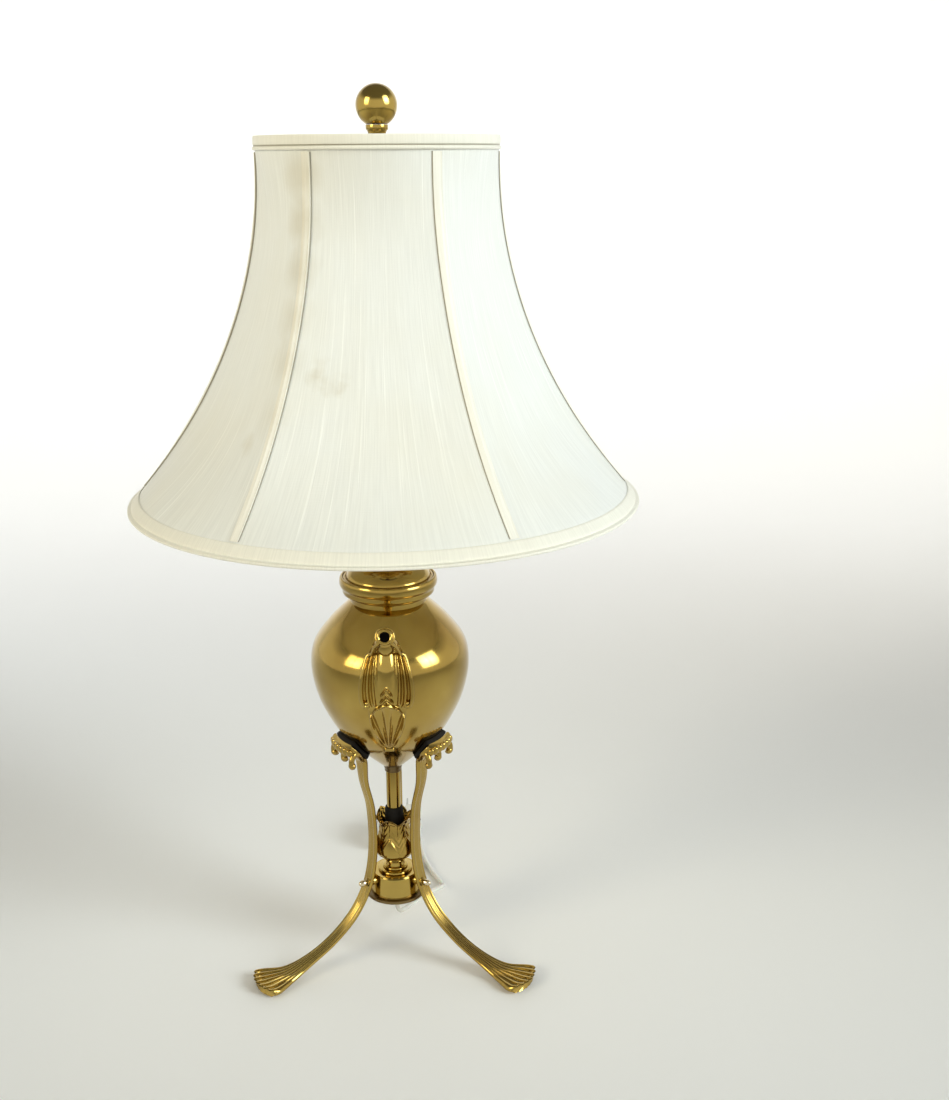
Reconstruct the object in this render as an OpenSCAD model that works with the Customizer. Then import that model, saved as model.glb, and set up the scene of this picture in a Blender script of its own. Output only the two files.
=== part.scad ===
// Table lamp built as a brass spirit kettle on a tripod, under a six-panel bell shade.
// Units are millimetres. +Z is up, the spout points along -Y, and the table is at z = 0.

/* [Tripod] */
// Distance from the lamp's axis to the front edge of a foot
foot_reach = 134; // [120:1:150]
// Width of a scalloped foot
foot_w = 39; // [30:1:44]
// Height of a foot's rim above its felt pad
foot_h = 7.5; // [6:0.5:9]
// Thickness of the felt pad under a foot
felt_t = 1.2; // [0.8:0.1:2]
// Radius of the felt pad under a foot
felt_r = 9; // [7:0.5:11]
// Width of a leg strap
strap_w = 13; // [11:0.5:15]
// Thickness of a leg strap
strap_t = 3.5; // [3:0.1:4.5]
// Distance from the axis to a leg where it is closest
leg_waist = 21.2; // [20.6:0.1:26]
// Thickness of a leg's head
head_t = 5; // [3.5:0.1:6]
// Width of the palmette head that cradles the kettle
head_w = 38; // [30:1:42]
// Thickness of the black pad between a leg's head and the kettle
pad_t = 4.2; // [2:0.2:4.8]
// Width of that pad around the kettle, as an angle
pad_angle = 42; // [30:1:46]

/* [Burner] */
// Height of the burner's underside above the table
base_z = 58.5; // [54:0.5:64]
// Thickness of the plate under the burner
plate_t = 3; // [2:0.5:4]
// Radius of that plate
plate_r = 26.5; // [25:0.5:28]
// Radius of the drum at its foot
drum_r = 22.5; // [20:0.5:23]
// Radius of the drum at its top
drum_top_r = 20.5; // [18:0.5:22]
// Height of the drum
drum_h = 18.5; // [16:0.5:21]
// Height of the stepped stem on the drum
stem_h = 11; // [9:0.5:14]
// Height of the leaf cup on the stem
cup_h = 43; // [38:1:46]
// Largest radius of the leaf cup
cup_r = 16.2; // [14:0.2:17]
// Number of leaves around the cup
cup_leaves = 6; // [4:1:8]
// Height to which the black bush stands out of the cup
bush_out = 7; // [4:0.5:10]

/* [Column] */
// Outside diameter of the threaded lamp pipe
pipe_d = 9.8; // [9.4:0.1:10.2]
// Bore of the lamp pipe
pipe_bore = 7.2; // [6.6:0.1:7.6]
// Outside diameter of the brass tube around the pipe
tube_d = 12.4; // [11.8:0.2:14]
// Clearance of a bore around the pipe
pipe_gap = 0.3; // [0.15:0.05:0.5]

/* [Kettle] */
// Height of the kettle's seat above the table
kettle_z = 178; // [174:1:184]
// Largest radius of the kettle
kettle_r = 66.1; // [60:0.5:70]
// Height from the kettle's seat to the foot of its neck
kettle_h = 150; // [140:1:160]
// Wall thickness of the kettle
kettle_wall = 1.2; // [0.8:0.1:2]
// Radius of the kettle's neck
neck_r = 31.6; // [28:0.2:34]
// Radius of the rolled lip
lip_r = 40.6; // [38:0.2:43]
// Height from the foot of the neck to the top of the lip
lip_h = 21; // [18:0.5:24]
// Rise of the lid above the lip
lid_rise = 11; // [8:0.5:14]

/* [Spout and handle] */
// Largest width of the leaf around the spout
leaf_w = 41; // [32:1:48]
// Outside radius of the spout at its tip
tip_r = 6; // [5.5:0.1:7]
// Radius of the bore at the tip
tip_bore_r = 3.65; // [3:0.05:4]
// Diameter of the handle's bar
handle_d = 9; // [8:0.5:11]
// How far the handle stands out behind the kettle
handle_out = 38; // [34:1:44]

/* [Socket and bulb] */
// Radius of the socket shell
shell_r = 17.5; // [17:0.1:19]
// Height of the socket shell above its cap
shell_h = 37; // [34:1:42]
// Radius of the bulb's screw base
bulb_base_r = 13; // [12.8:0.1:13.2]
// Largest radius of the bulb's glass
bulb_r = 30; // [24:1:32]
// Height of the bulb from its contact to its top
bulb_h = 108; // [95:1:115]
// Length of the switch knob
knob_len = 14; // [10:1:18]

/* [Harp] */
// Height from the saddle to the top of the harp
harp_h = 304; // [290:1:312]
// Half of the harp's greatest width
harp_half = 56; // [46:1:62]
// Distance from the axis to a harp arm at the saddle
arm_x = 28; // [25:0.5:32]
// Diameter of the harp wire
wire_d = 3.6; // [3:0.1:4]

/* [Shade] */
// Radius of the shade's lower edge
shade_r = 203.2; // [190:0.2:210]
// Radius of the shade's upper edge
shade_top_r = 91.5; // [85:0.5:98]
// Height of the shade
shade_h = 280; // [260:1:290]
// How fast the bell flares towards its lower edge
flare = 2.2; // [1.9:0.05:2.5]
// How flat the panels lie between the ribs, from 0 to 1
panel_flat = 0.75; // [0:0.05:1]
// Thickness of the silk
silk_t = 0.8; // [0.6:0.1:1.2]
// Thickness of the lining
lining_t = 0.6; // [0.5:0.1:1]
// Diameter of the frame's wire
rib_d = 2.6; // [2.2:0.1:3.2]
// Height of the bound edges of the shade
trim_h = 10.5; // [8:0.5:13]
// Width of the tape over a seam
seam_w = 8; // [6:0.5:10]

/* [Finial] */
// Radius of the finial's ball
ball_r = 15.7; // [13:0.1:18]
// Radius of the finial's neck
finial_neck_r = 8.5; // [7:0.1:9]
// Height of the ball's centre above the shade's hub
ball_rise = 31.5; // [30:0.5:36]

/* [Cord] */
// Diameter of the cord
cord_d = 4; // [3.6:0.1:4.2]
// Radius to the middle of the coil's turns
coil_mid_r = 20.3; // [19:0.1:24]
// Distance between the middles of neighbouring turns
coil_pitch = 4.95; // [4.9:0.05:5.5]

/* [Hidden] */
$fn = 64;
brass = "#c9a24a";
dark_brass = "#9a7424";
steel = "#b8b8b4";
black = "#1c1a18";
ivory = "#efeadb";
white = "#f2f0ea";

// Common clearance between pieces that slide or turn on each other
gap = 0.3;
pipe_hole = pipe_d / 2 + pipe_gap;

// Levels of the stack, from the table up
plate_z = base_z - plate_t;
washer_t = 1;
nut_t = 3.6;
pipe_z = plate_z - washer_t - nut_t - 0.4;
stem_z = base_z + drum_h;
cup_z = stem_z + stem_h;
cup_floor = 30;
bush_z = cup_z + cup_floor;
bush_top = cup_z + cup_h + bush_out;
collar_h = 6;
tube_z = bush_z;
tube_top = kettle_z - collar_h;
neck_z = kettle_z + kettle_h;
lip_z = neck_z + lip_h;
lid_t = 1.2;
lid_top = lip_z + lid_rise;
spacer_h = 20;
saddle_z = lid_top + spacer_h;
saddle_t = 2;
lock_t = 3;
cap_z = saddle_z + saddle_t + lock_t;
cap_h = 17;
pipe_top = cap_z + 5;
shell_z = cap_z + cap_h;
shell_top = shell_z + shell_h;
harp_top = saddle_z + harp_h;
hub_t = 1.6;
shade_drop = 10;
shade_top = harp_top + hub_t + shade_drop;
shade_z = shade_top - shade_h;

// Point between b and c on a smooth curve through a, b, c and d
function blend(a, b, c, d, t) =
    0.5 * (2 * b + (c - a) * t + (2 * a - 5 * b + 4 * c - d) * t * t
    + (3 * b - a - 3 * c + d) * t * t * t);
// Smooth curve through the points of p, with n steps from each point to the next
function smooth(p, n) =
    let (last = len(p) - 1)
    [for (i = [0:last - 1]) for (k = [0:n - 1])
        blend(p[max(i - 1, 0)], p[i], p[i + 1], p[min(i + 2, last)], k / n), p[last]];
function unit(v) = v / norm(v);
function mean(p) = [for (k = [0:len(p[0]) - 1]) [for (q = p) q[k]] * [for (q = p) 1] / len(p)];
function tangent(p, i) = unit(p[min(i + 1, len(p) - 1)] - p[max(i - 1, 0)]);
function run_length(p) = [for (i = [1:len(p) - 1]) norm(p[i] - p[i - 1])] * [for (i = [1:len(p) - 1]) 1];

// Closed solid through rings of equally many points, each ring clockwise seen from the one before
module loft(rings) {
    m = len(rings[0]);
    last = len(rings) - 1;
    points = [for (ring = rings) each ring, mean(rings[0]), mean(rings[last])];
    sides = [for (i = [0:last - 1]) for (j = [0:m - 1]) let (k = (j + 1) % m) each [
        [i * m + j, (i + 1) * m + j, (i + 1) * m + k],
        [i * m + j, (i + 1) * m + k, i * m + k]]];
    first_cap = [for (j = [0:m - 1]) [len(points) - 2, j, (j + 1) % m]];
    last_cap = [for (j = [0:m - 1]) [len(points) - 1, last * m + (j + 1) % m, last * m + j]];
    polyhedron(points, concat(sides, first_cap, last_cap));
}

// Frames carried along a path without twist, as [across, other across] at each point
function carry(p, i, n) =
    i >= len(p) ? [] :
    let (t = tangent(p, i), a = unit(n - (n * t) * t))
    concat([[a, cross(t, a)]], carry(p, i + 1, a));

// Rings of a round tube of radius r[i] and m sides along the path p
function tube_rings(p, r, m, start) =
    let (frames = carry(p, 0, start))
    [for (i = [0:len(p) - 1]) [for (j = [0:m - 1]) let (a = 360 * (j + 0.5) / m)
        p[i] + r[i] * (cos(a) * frames[i][0] + sin(a) * frames[i][1])]];

module tube(p, r, m, start) loft(tube_rings(p, [for (q = p) r], m, start));

// Ring with bore inner and outside outer, standing on z = 0
module bored(outer, inner, h) {
    difference() {
        cylinder(r = outer, h = h);
        translate([0, 0, -1]) cylinder(r = inner, h = h + 2);
    }
}

// The kettle's outside, as radius and height shares of its body
KETTLE_CURVE = [
    [0.13, 0], [0.33, 0.08], [0.625, 0.213], [0.815, 0.347], [0.94, 0.48],
    [1, 0.627], [0.957, 0.76], [0.765, 0.88]];
KETTLE = smooth(concat([for (q = KETTLE_CURVE) [q[0] * kettle_r, kettle_z + q[1] * kettle_h]],
    [[neck_r + 6, neck_z - 5], [neck_r, neck_z]]), 4);
KETTLE_TABLE = [for (q = KETTLE) [q[1], q[0]]];
function kettle_at(z) = lookup(z, KETTLE_TABLE);
// Outward direction square to the kettle's side at height z, as [radial, up]
function kettle_out(z) = let (m = kettle_at(z + 1) - kettle_at(z - 1)) unit([2, -m]);
// Point d outside the kettle's side at height z
function off_kettle(z, d) = [kettle_at(z), z] + d * kettle_out(z);

LIP = [
    [neck_r, neck_z + 0.2 * lip_h], [neck_r + 3.4, neck_z + 0.3 * lip_h],
    [lip_r - 2.8, neck_z + 0.38 * lip_h], [lip_r - 2.4, neck_z + 0.56 * lip_h],
    [lip_r - 0.8, neck_z + 0.64 * lip_h], [lip_r, neck_z + 0.78 * lip_h],
    [lip_r - 0.3, neck_z + 0.92 * lip_h], [lip_r - 1.3, lip_z]];
lid_r = lip_r - 3.2;
lid_seat = lip_z - 2.4;

module kettle_outside() rotate_extrude() polygon(concat([[0, kettle_z]], KETTLE, [[0, neck_z]]));
// The kettle's lower half with a skin of thickness d, to seat pieces at that distance
module around_kettle(d) {
    half = [for (q = KETTLE) if (q[1] < kettle_z + 0.45 * kettle_h) off_kettle(q[1], d)];
    last = half[len(half) - 1];
    rotate_extrude() polygon(concat([[0, half[0][1]]], half, [[0, last[1]]]));
}

module kettle_body() {
    inner = [for (i = [len(KETTLE) - 1:-1:0]) let (t = tangent(KETTLE, i))
        KETTLE[i] + kettle_wall * [-t[1], t[0]]];
    open_r = neck_r - kettle_wall;
    color(brass)
        difference() {
            rotate_extrude($fn = 96)
                polygon(concat([[pipe_hole, kettle_z]], KETTLE, LIP,
                    [[lid_r + gap, lip_z], [lid_r + gap, lid_seat], [open_r, lid_seat],
                    [open_r, neck_z]],
                    [for (i = [1:len(inner) - 2]) inner[i]],
                    [[pipe_hole, kettle_z + kettle_wall]]));
            for (a = LEG_ANGLES)
                at_saddle(a) translate([0, 0, -6]) cylinder(r = saddle_screw_r + 0.1, h = 12);
            for (z = RIVET_Z)
                translate([0, 0, z]) rotate([-90, 0, 0]) cylinder(r = rivet_r + 0.1, h = kettle_r + 5);
        }
}

module kettle_lid() {
    dome = lid_r - 2.4;
    swell = lid_top - lid_seat - lid_t;
    color(brass)
        rotate_extrude($fn = 96)
            polygon(concat(
                [[pipe_hole, lid_top - lid_t], [pipe_hole, lid_top], [9, lid_top]],
                [for (a = [10:10:90]) [9 + (dome - 9) * sin(a), lid_seat + lid_t + swell * cos(a)]],
                [[lid_r - 2.2, lid_seat + lid_t], [lid_r - 1.6, lid_seat + 2], [lid_r, lid_seat + 2],
                [lid_r, lid_seat]],
                [for (a = [90:-10:10]) [9 + (dome - 9 - lid_t) * sin(a), lid_seat + swell * cos(a)]]));
}

// Legs stand at these turns from the rear, which is +Y
LEG_ANGLES = [120, -120, 0];
saddle_screw_r = 1.5;
saddle_share = 0.19;
saddle_at_z = kettle_z + saddle_share * kettle_h;
// How far a head's screw hole reaches outward from the kettle's side
saddle_tip_z = pad_t + 0.7 * head_t;
ridge_count = 7;

// Puts a child at the kettle's side where a leg's head is screwed on, with +Z outward
module at_saddle(a) {
    n = kettle_out(saddle_at_z);
    rotate([0, 0, a]) translate([0, kettle_at(saddle_at_z), saddle_at_z])
        rotate([-atan2(n[0], n[1]), 0, 0]) children();
}

// A leg's stations from its head to its toe:
// distance from the axis, height, width, thickness, depth of ridges, share of the outer
// ridges, how far the sides trail, and how far it wraps round the kettle
head_off = pad_t + head_t / 2;
function head_station(share, w, ridge, wrap) =
    let (q = off_kettle(kettle_z + share * kettle_h, head_off))
    [q[0], q[1], w, head_t, ridge, 1, 0, wrap];
toe_z = felt_t + foot_h / 2;
screw_z = base_z + 0.68 * drum_h;
span = foot_reach - leg_waist;
LEG = smooth([
    head_station(0.24, head_w * 0.9, 1.4, 1),
    head_station(0.2, head_w, 1.4, 1),
    head_station(0.155, head_w * 0.74, 1.1, 1),
    head_station(0.11, strap_w * 1.35, 0.5, 1),
    [leg_waist + 7, tube_top - 4, strap_w, strap_t + 0.6, 0.4, 0, 0, 0],
    [leg_waist + 1.4, bush_top + 4, strap_w, strap_t, 0.4, 0, 0, 0],
    [leg_waist, cup_z + 20, strap_w, strap_t, 0.4, 0, 0, 0],
    [leg_waist + 3.3, cup_z - 8, strap_w, strap_t, 0.4, 0, 0, 0],
    [leg_waist + 10.8, base_z + 1, strap_w, strap_t, 0.4, 0, 0, 0],
    [leg_waist + 0.21 * span, 0.7 * base_z, strap_w, strap_t, 0.4, 0, 0, 0],
    [leg_waist + 0.385 * span, 0.415 * base_z, strap_w, strap_t, 0.5, 0.1, 0, 0],
    [leg_waist + 0.58 * span, 0.22 * base_z, strap_w * 1.15, strap_t + 0.5, 0.7, 0.5, 1, 0],
    [leg_waist + 0.76 * span, 0.1 * base_z, foot_w * 0.6, strap_t + 1.2, 1.2, 1, 2, 0],
    [leg_waist + 0.92 * span, toe_z - 0.4, foot_w * 0.97, foot_h - 0.8, 1.5, 1, 5, 0],
    [foot_reach - 1.2, toe_z, foot_w, foot_h, 1.6, 1, 7, 0],
    [foot_reach, toe_z, foot_w * 0.98, foot_h, 1.6, 1, 7, 0]], 2);

// Height of the ridges at share u of the width, from -1 to 1: rounded crests and sharp valleys
function crest(u) = abs(cos(90 * (u + 1) * ridge_count));
function ridge_share(u, fan) = abs(u) * ridge_count < 3 ? 1 : fan;

function leg_ring(i) =
    let (s = LEG[i],
        t = unit([for (k = [0, 1]) LEG[min(i + 1, len(LEG) - 1)][k] - LEG[max(i - 1, 0)][k]]),
        n = [-t[1], t[0]], half = s[2] / 2, tops = 2 * ridge_count)
    let (flat = concat(
        [for (k = [0:tops]) let (u = 2 * k / tops - 1)
            [u * half, s[3] / 2 - s[4] * (1 - ridge_share(u, s[5]) * crest(u + 1 / ridge_count)), u]],
        [for (u = [1, 0.5, 0, -0.5, -1]) [u * half * 0.94, -s[3] / 2, u]]))
    [for (q = flat) let (
        rho = s[0] + q[1] * n[0] - s[6] * q[2] * q[2],
        z = max(s[1] + q[1] * n[1], felt_t),
        a = q[0] / rho * 180 / PI)
        [q[0] * (1 - s[7]) + rho * sin(a) * s[7], rho * (1 - s[7]) + rho * cos(a) * s[7], z]];

// Curled leaf tip: a tapering stalk that bends outward and down to a bead
module curl(z, turn, out, down, bead) {
    root = off_kettle(z, head_off);
    path = [for (q = smooth([root, root + [out * 0.45, -down * 0.15], root + [out * 0.85, -down * 0.5],
        root + [out, -down]], 3)) [0, q[0], q[1]]];
    tip = path[len(path) - 1];
    rotate([0, 0, turn]) {
        loft(tube_rings(path, [for (i = [0:len(path) - 1]) bead * (0.8 - 0.25 * i / len(path))],
            8, [1, 0, 0]));
        translate(tip) sphere(r = bead, $fn = 24);
    }
}

// Turn about the lamp's axis from the middle of a head to the curl at its side
curl_turn = 20;

// Where the clamping screw of a leg passes through it
leg_screw_r = 1.6;
boss_r = 4;
drum_boss_rho = drum_r + 1.4;
leg_boss_rho = leg_waist + 4.4;

module leg(a) {
    color(brass)
        rotate([0, 0, a])
            difference() {
                union() {
                    loft([for (i = [0:len(LEG) - 1]) leg_ring(i)]);
                    for (turn = [-1, 1])
                        curl(kettle_z + 0.2 * kettle_h, turn * curl_turn, 5.4, 9.6, 3);
                    curl(kettle_z + 0.19 * kettle_h, 0, 2.8, 7.6, 3);
                    translate([0, leg_boss_rho, screw_z]) rotate([-90, 0, 0])
                        cylinder(r = boss_r, h = 3);
                }
                translate([0, 0, screw_z]) rotate([-90, 0, 0]) {
                    cylinder(r = leg_screw_r + 0.1, h = foot_reach / 3);
                    cylinder(r = boss_r + 0.4, h = leg_boss_rho);
                }
                around_kettle(pad_t);
                at_saddle(0) cylinder(r = saddle_screw_r + 0.1, h = saddle_tip_z);
            }
}

module leg_left() leg(LEG_ANGLES[0]);
module leg_right() leg(LEG_ANGLES[1]);
module leg_rear() leg(LEG_ANGLES[2]);

module foot_pads() {
    color(black)
        for (a = LEG_ANGLES)
            rotate([0, 0, a]) translate([0, foot_reach - foot_w * 0.42, 0])
                cylinder(r = felt_r, h = felt_t);
}

module leg_spacers() {
    color(dark_brass)
        for (a = LEG_ANGLES)
            rotate([0, 0, a]) translate([0, drum_boss_rho, screw_z]) rotate([-90, 0, 0])
                bored(boss_r, leg_screw_r + 0.1, leg_boss_rho - drum_boss_rho);
}

nut_rho = leg_boss_rho + strap_t + 1.4;
module leg_screws() {
    color(brass)
        for (a = LEG_ANGLES)
            rotate([0, 0, a]) translate([0, drum_top_r - 5, screw_z]) rotate([-90, 0, 0]) {
                cylinder(r = leg_screw_r, h = nut_rho - drum_top_r + 6.4);
                cylinder(r = 2.9, h = 2);
            }
}

module ball_nuts() {
    color(brass)
        for (a = LEG_ANGLES)
            rotate([0, 0, a]) translate([0, nut_rho, screw_z]) rotate([-90, 0, 0])
                difference() {
                    rotate_extrude()
                        polygon(concat([[0, 0], [2.9, 0]],
                            [for (t = [0:10:80]) [2.9 * cos(t) + 0.2 * sin(2 * t), 1 + 4.6 * sin(t)]],
                            [[0, 5.6]]));
                    translate([0, 0, -1]) cylinder(r = leg_screw_r, h = 4);
                }
}

// The pad's edges run along the kettle's own outline, so that it lies on the kettle
pad_first = 5;
pad_last = 9;
module saddle_pads() {
    inside = [for (i = [pad_first:pad_last]) KETTLE[i]];
    outside = [for (i = [pad_last:-1:pad_first]) off_kettle(KETTLE[i][1], pad_t - 0.1)];
    color(black)
        for (a = LEG_ANGLES)
            difference() {
                rotate([0, 0, a + 90 - pad_angle / 2])
                    rotate_extrude(angle = pad_angle) polygon(concat(inside, outside));
                at_saddle(a) translate([0, 0, -1]) cylinder(r = saddle_screw_r + 0.1, h = 10);
            }
}

saddle_washer_t = 0.8;
saddle_washer_z = -kettle_wall - gap - saddle_washer_t;
module saddle_screws() {
    head_h = 2;
    color(steel)
        for (a = LEG_ANGLES)
            at_saddle(a) {
                translate([0, 0, saddle_washer_z])
                    cylinder(r = saddle_screw_r, h = saddle_tip_z - saddle_washer_z - 0.2);
                translate([0, 0, saddle_washer_z - head_h]) cylinder(r = 2 * saddle_screw_r, h = head_h);
            }
}

module saddle_washers() {
    color(steel)
        for (a = LEG_ANGLES)
            at_saddle(a) translate([0, 0, saddle_washer_z])
                bored(3.6, saddle_screw_r + 0.1, saddle_washer_t);
}

module base_plate() {
    edge = 0.8;
    color(dark_brass)
        rotate_extrude($fn = 96)
            polygon([[pipe_hole, plate_z], [plate_r - edge, plate_z], [plate_r, plate_z + edge],
                [plate_r, base_z - edge], [plate_r - edge, base_z], [pipe_hole, base_z]]);
}

module base_washer() {
    color(steel) translate([0, 0, plate_z - washer_t]) bored(12, pipe_hole, washer_t);
}

module base_nut() {
    color(brass)
        translate([0, 0, plate_z - washer_t - nut_t])
            difference() {
                cylinder(r = 8.4, h = nut_t, $fn = 6);
                translate([0, 0, -1]) cylinder(r = pipe_d / 2 + 0.05, h = nut_t + 2);
            }
}

bush_in = 18;
bush_flange = 1.5;
bush_nose = 1.6;
cord_exit = pipe_z - bush_flange - bush_nose;
module cord_bush() {
    hole = cord_d / 2 + 0.15;
    color(white)
        rotate_extrude()
            polygon([[hole, cord_exit], [hole + 0.9, cord_exit], [hole + 1.5, pipe_z - bush_flange],
                [pipe_d / 2 + 0.6, pipe_z - bush_flange], [pipe_d / 2 + 0.6, pipe_z],
                [pipe_bore / 2 - 0.05, pipe_z], [pipe_bore / 2 - 0.05, pipe_z + bush_in],
                [hole, pipe_z + bush_in]]);
}

module lamp_pipe() {
    color(steel) translate([0, 0, pipe_z]) bored(pipe_d / 2, pipe_bore / 2, pipe_top - pipe_z);
}

module burner_drum() {
    wall = 2;
    color(brass)
        difference() {
            union() {
                rotate_extrude($fn = 96)
                    polygon([[drum_r - wall, base_z], [drum_r, base_z],
                        [drum_r - 0.2, base_z + 2], [drum_top_r, stem_z - 1.2],
                        [drum_top_r - 1, stem_z], [pipe_hole, stem_z], [pipe_hole, stem_z - wall],
                        [drum_top_r - wall, stem_z - wall]]);
                for (a = LEG_ANGLES)
                    rotate([0, 0, a]) translate([0, drum_top_r - 1.2, screw_z]) rotate([-90, 0, 0])
                        cylinder(r = boss_r, h = drum_boss_rho - drum_top_r + 1.2);
            }
            for (a = LEG_ANGLES)
                rotate([0, 0, a]) translate([0, 5, screw_z]) rotate([-90, 0, 0])
                    cylinder(r = leg_screw_r + 0.1, h = drum_r + 5);
        }
}

module burner_stem() {
    color(brass)
        rotate_extrude($fn = 96)
            polygon(concat([[pipe_hole, stem_z]],
                [for (a = [-80:20:80]) [13.9 + 1.1 * cos(a), stem_z + 1.3 + 1.3 * sin(a)]],
                [for (a = [-80:20:80]) [9.8 + 1.2 * cos(a), stem_z + 3.8 + 1.2 * sin(a)]],
                [[8.4, stem_z + 5.2], [8.4, cup_z - 1.4], [9.6, cup_z - 0.7], [9.6, cup_z],
                [pipe_hole, cup_z]]));
}

// Outline of the cup's bud, as shares of its height and largest radius
CUP = [
    [0, 0.56], [0.06, 0.72], [0.16, 0.95], [0.26, 1], [0.42, 0.95], [0.6, 0.84], [0.78, 0.78],
    [0.9, 0.84], [1, 0.98]];

// Leaf relief on the bud: a crest along the middle vein, a step down at the edge of each leaf
// that narrows towards its tip, and slanted side veins
function leaf_relief(share, u) =
    let (edge = 0.98 - 0.55 * share, in = 1 - abs(u) / max(edge, 0.1))
    in > 0 ? 1.3 * pow(in, 0.35) + 0.25 * cos(720 * (2 * share + abs(u))) : 0;

module leaf_cup() {
    around = 12 * cup_leaves;
    rings = [for (q = CUP) [for (j = [0:around - 1])
        let (u = 2 * abs((j / 12 + 0.5) % 1 - 0.5),
            r = q[1] * cup_r + leaf_relief(q[0], u) * min(1, q[0] * 8),
            z = cup_z + q[0] * (cup_h - (q[0] > 0.85 ? 6 * u * (q[0] - 0.85) / 0.15 : 0)),
            a = 360 * j / around + 10)
        [r * cos(a), r * sin(a), z]]];
    color(brass)
        difference() {
            loft(rings);
            translate([0, 0, cup_z - 1]) cylinder(r = pipe_hole, h = cup_floor + 2);
            translate([0, 0, bush_z]) cylinder(r = 0.68 * cup_r, h = cup_h);
        }
}

wick_r = 8;
module wick_bush() {
    hole = tube_d / 2 + 0.1;
    color(black)
        rotate_extrude()
            polygon([[hole, bush_z], [wick_r, bush_z], [wick_r, bush_top - 2.5],
                [wick_r - 0.8, bush_top - 0.6], [wick_r - 1.4, bush_top], [hole, bush_top]]);
}

module centre_tube() {
    color(brass) translate([0, 0, tube_z]) bored(tube_d / 2, pipe_hole, tube_top - tube_z);
}

module tube_collar() {
    color(dark_brass)
        rotate_extrude()
            polygon([[pipe_hole, tube_top], [tube_d / 2 + 0.8, tube_top], [tube_d / 2 + 1, tube_top + 2],
                [KETTLE[0][0] - 0.4, kettle_z - 1], [KETTLE[0][0], kettle_z], [pipe_hole, kettle_z]]);
}

// The spout's stations from its tip to its stalk:
// distance from the axis, height, half width, half width of the tube, rise of the tube,
// thickness of the wings, depth behind
function on_kettle(share, off) = off_kettle(kettle_z + share * kettle_h, off);
function spout_station(share, off, half, tube_half, rise, wing, back) =
    concat(on_kettle(share, off), [half, tube_half, rise, wing, back]);
tip_top = kettle_z + 0.96 * kettle_h;
tip_rho = kettle_r + 10;
// Length of the upright part below the mouth, and how far it stands behind the mouth
spout_neck = 17;
spout_back = 9.8;
// The stalk lies across the leaf's foot at this share of the kettle's height
stalk_share = 0.24;
SPOUT = smooth([
    [tip_rho, tip_top, tip_r, tip_r, tip_r, 0.5, tip_r],
    [tip_rho - 5.5, tip_top - 2.4, tip_r, tip_r, tip_r, 0.5, tip_r],
    [tip_rho - spout_back + 0.8, tip_top - spout_neck / 2, tip_r + 1, tip_r + 0.5, tip_r + 0.6, 1,
        tip_r],
    [tip_rho - spout_back, tip_top - spout_neck, leaf_w * 0.27, tip_r + 1.2, tip_r + 1, 2.4, tip_r],
    spout_station(0.78, 3, leaf_w * 0.39, tip_r + 2.4, tip_r + 1.4, 3, 5),
    spout_station(0.7, 1.5, leaf_w * 0.48, tip_r + 3, tip_r + 1, 3.4, 4),
    spout_station(0.62, 1.1, leaf_w * 0.5, tip_r + 2.4, tip_r - 0.6, 3.4, 4),
    spout_station(0.56, 1, leaf_w * 0.46, tip_r + 1.8, 4.8, 3, 4),
    spout_station(0.52, 1, leaf_w * 0.37, tip_r + 1.2, 4.4, 2.6, 4),
    spout_station(0.45, 1, leaf_w * 0.35, tip_r + 0.6, 4, 2.4, 4),
    spout_station(0.38, 1, leaf_w * 0.29, tip_r, 3.4, 2, 4),
    spout_station(0.31, 1, leaf_w * 0.18, tip_r - 1.5, 2.8, 1.6, 4),
    spout_station(0.26, 1, 3.4, 3, 2, 1.4, 3),
    spout_station(stalk_share, 1, 2.4, 2.4, 1.8, 1.2, 3)], 2);

function dome(u) = sqrt(max(0, 1 - u * u));
function spout_ring(i) =
    let (s = SPOUT[i],
        t = unit([for (k = [0, 1]) SPOUT[min(i + 1, len(SPOUT) - 1)][k] - SPOUT[max(i - 1, 0)][k]]),
        n = [-t[1], t[0]], fronts = 16)
    let (flat = concat(
        [for (k = [0:fronts]) let (u = -cos(180 * k / fronts), x = u * s[2])
            [x, max(s[4] * dome(x / s[3]), s[5] * pow(dome(u), 0.5) * (0.75 + 0.25 * cos(540 * u)))]],
        [for (k = [5:-1:1]) let (u = -cos(180 * k / 6)) [u * s[2], -s[6] * dome(u)]]))
    [for (q = flat) [q[0], s[0] + q[1] * n[0], s[1] + q[1] * n[1]]];

module spout() {
    tip_turn = 20;
    stalk_w = 7.6;
    stalk = on_kettle(stalk_share, 1.6);
    color(brass)
        rotate([0, 0, 180])
            difference() {
                union() {
                    loft([for (i = [0:len(SPOUT) - 1]) spout_ring(i)]);
                    translate([-stalk_w / 2, stalk[0], stalk[1]]) rotate([0, 90, 0])
                        cylinder(r = 2, h = stalk_w, $fn = 32);
                }
                kettle_outside();
                translate([0, tip_rho, tip_top]) rotate([90 + tip_turn, 0, 0])
                    translate([0, 0, -8]) cylinder(r = tip_bore_r, h = 18);
                translate([0, tip_rho - spout_back + 0.3, tip_top - spout_neck])
                    cylinder(r = tip_bore_r - 0.5, h = spout_neck - 4);
            }
}

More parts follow.
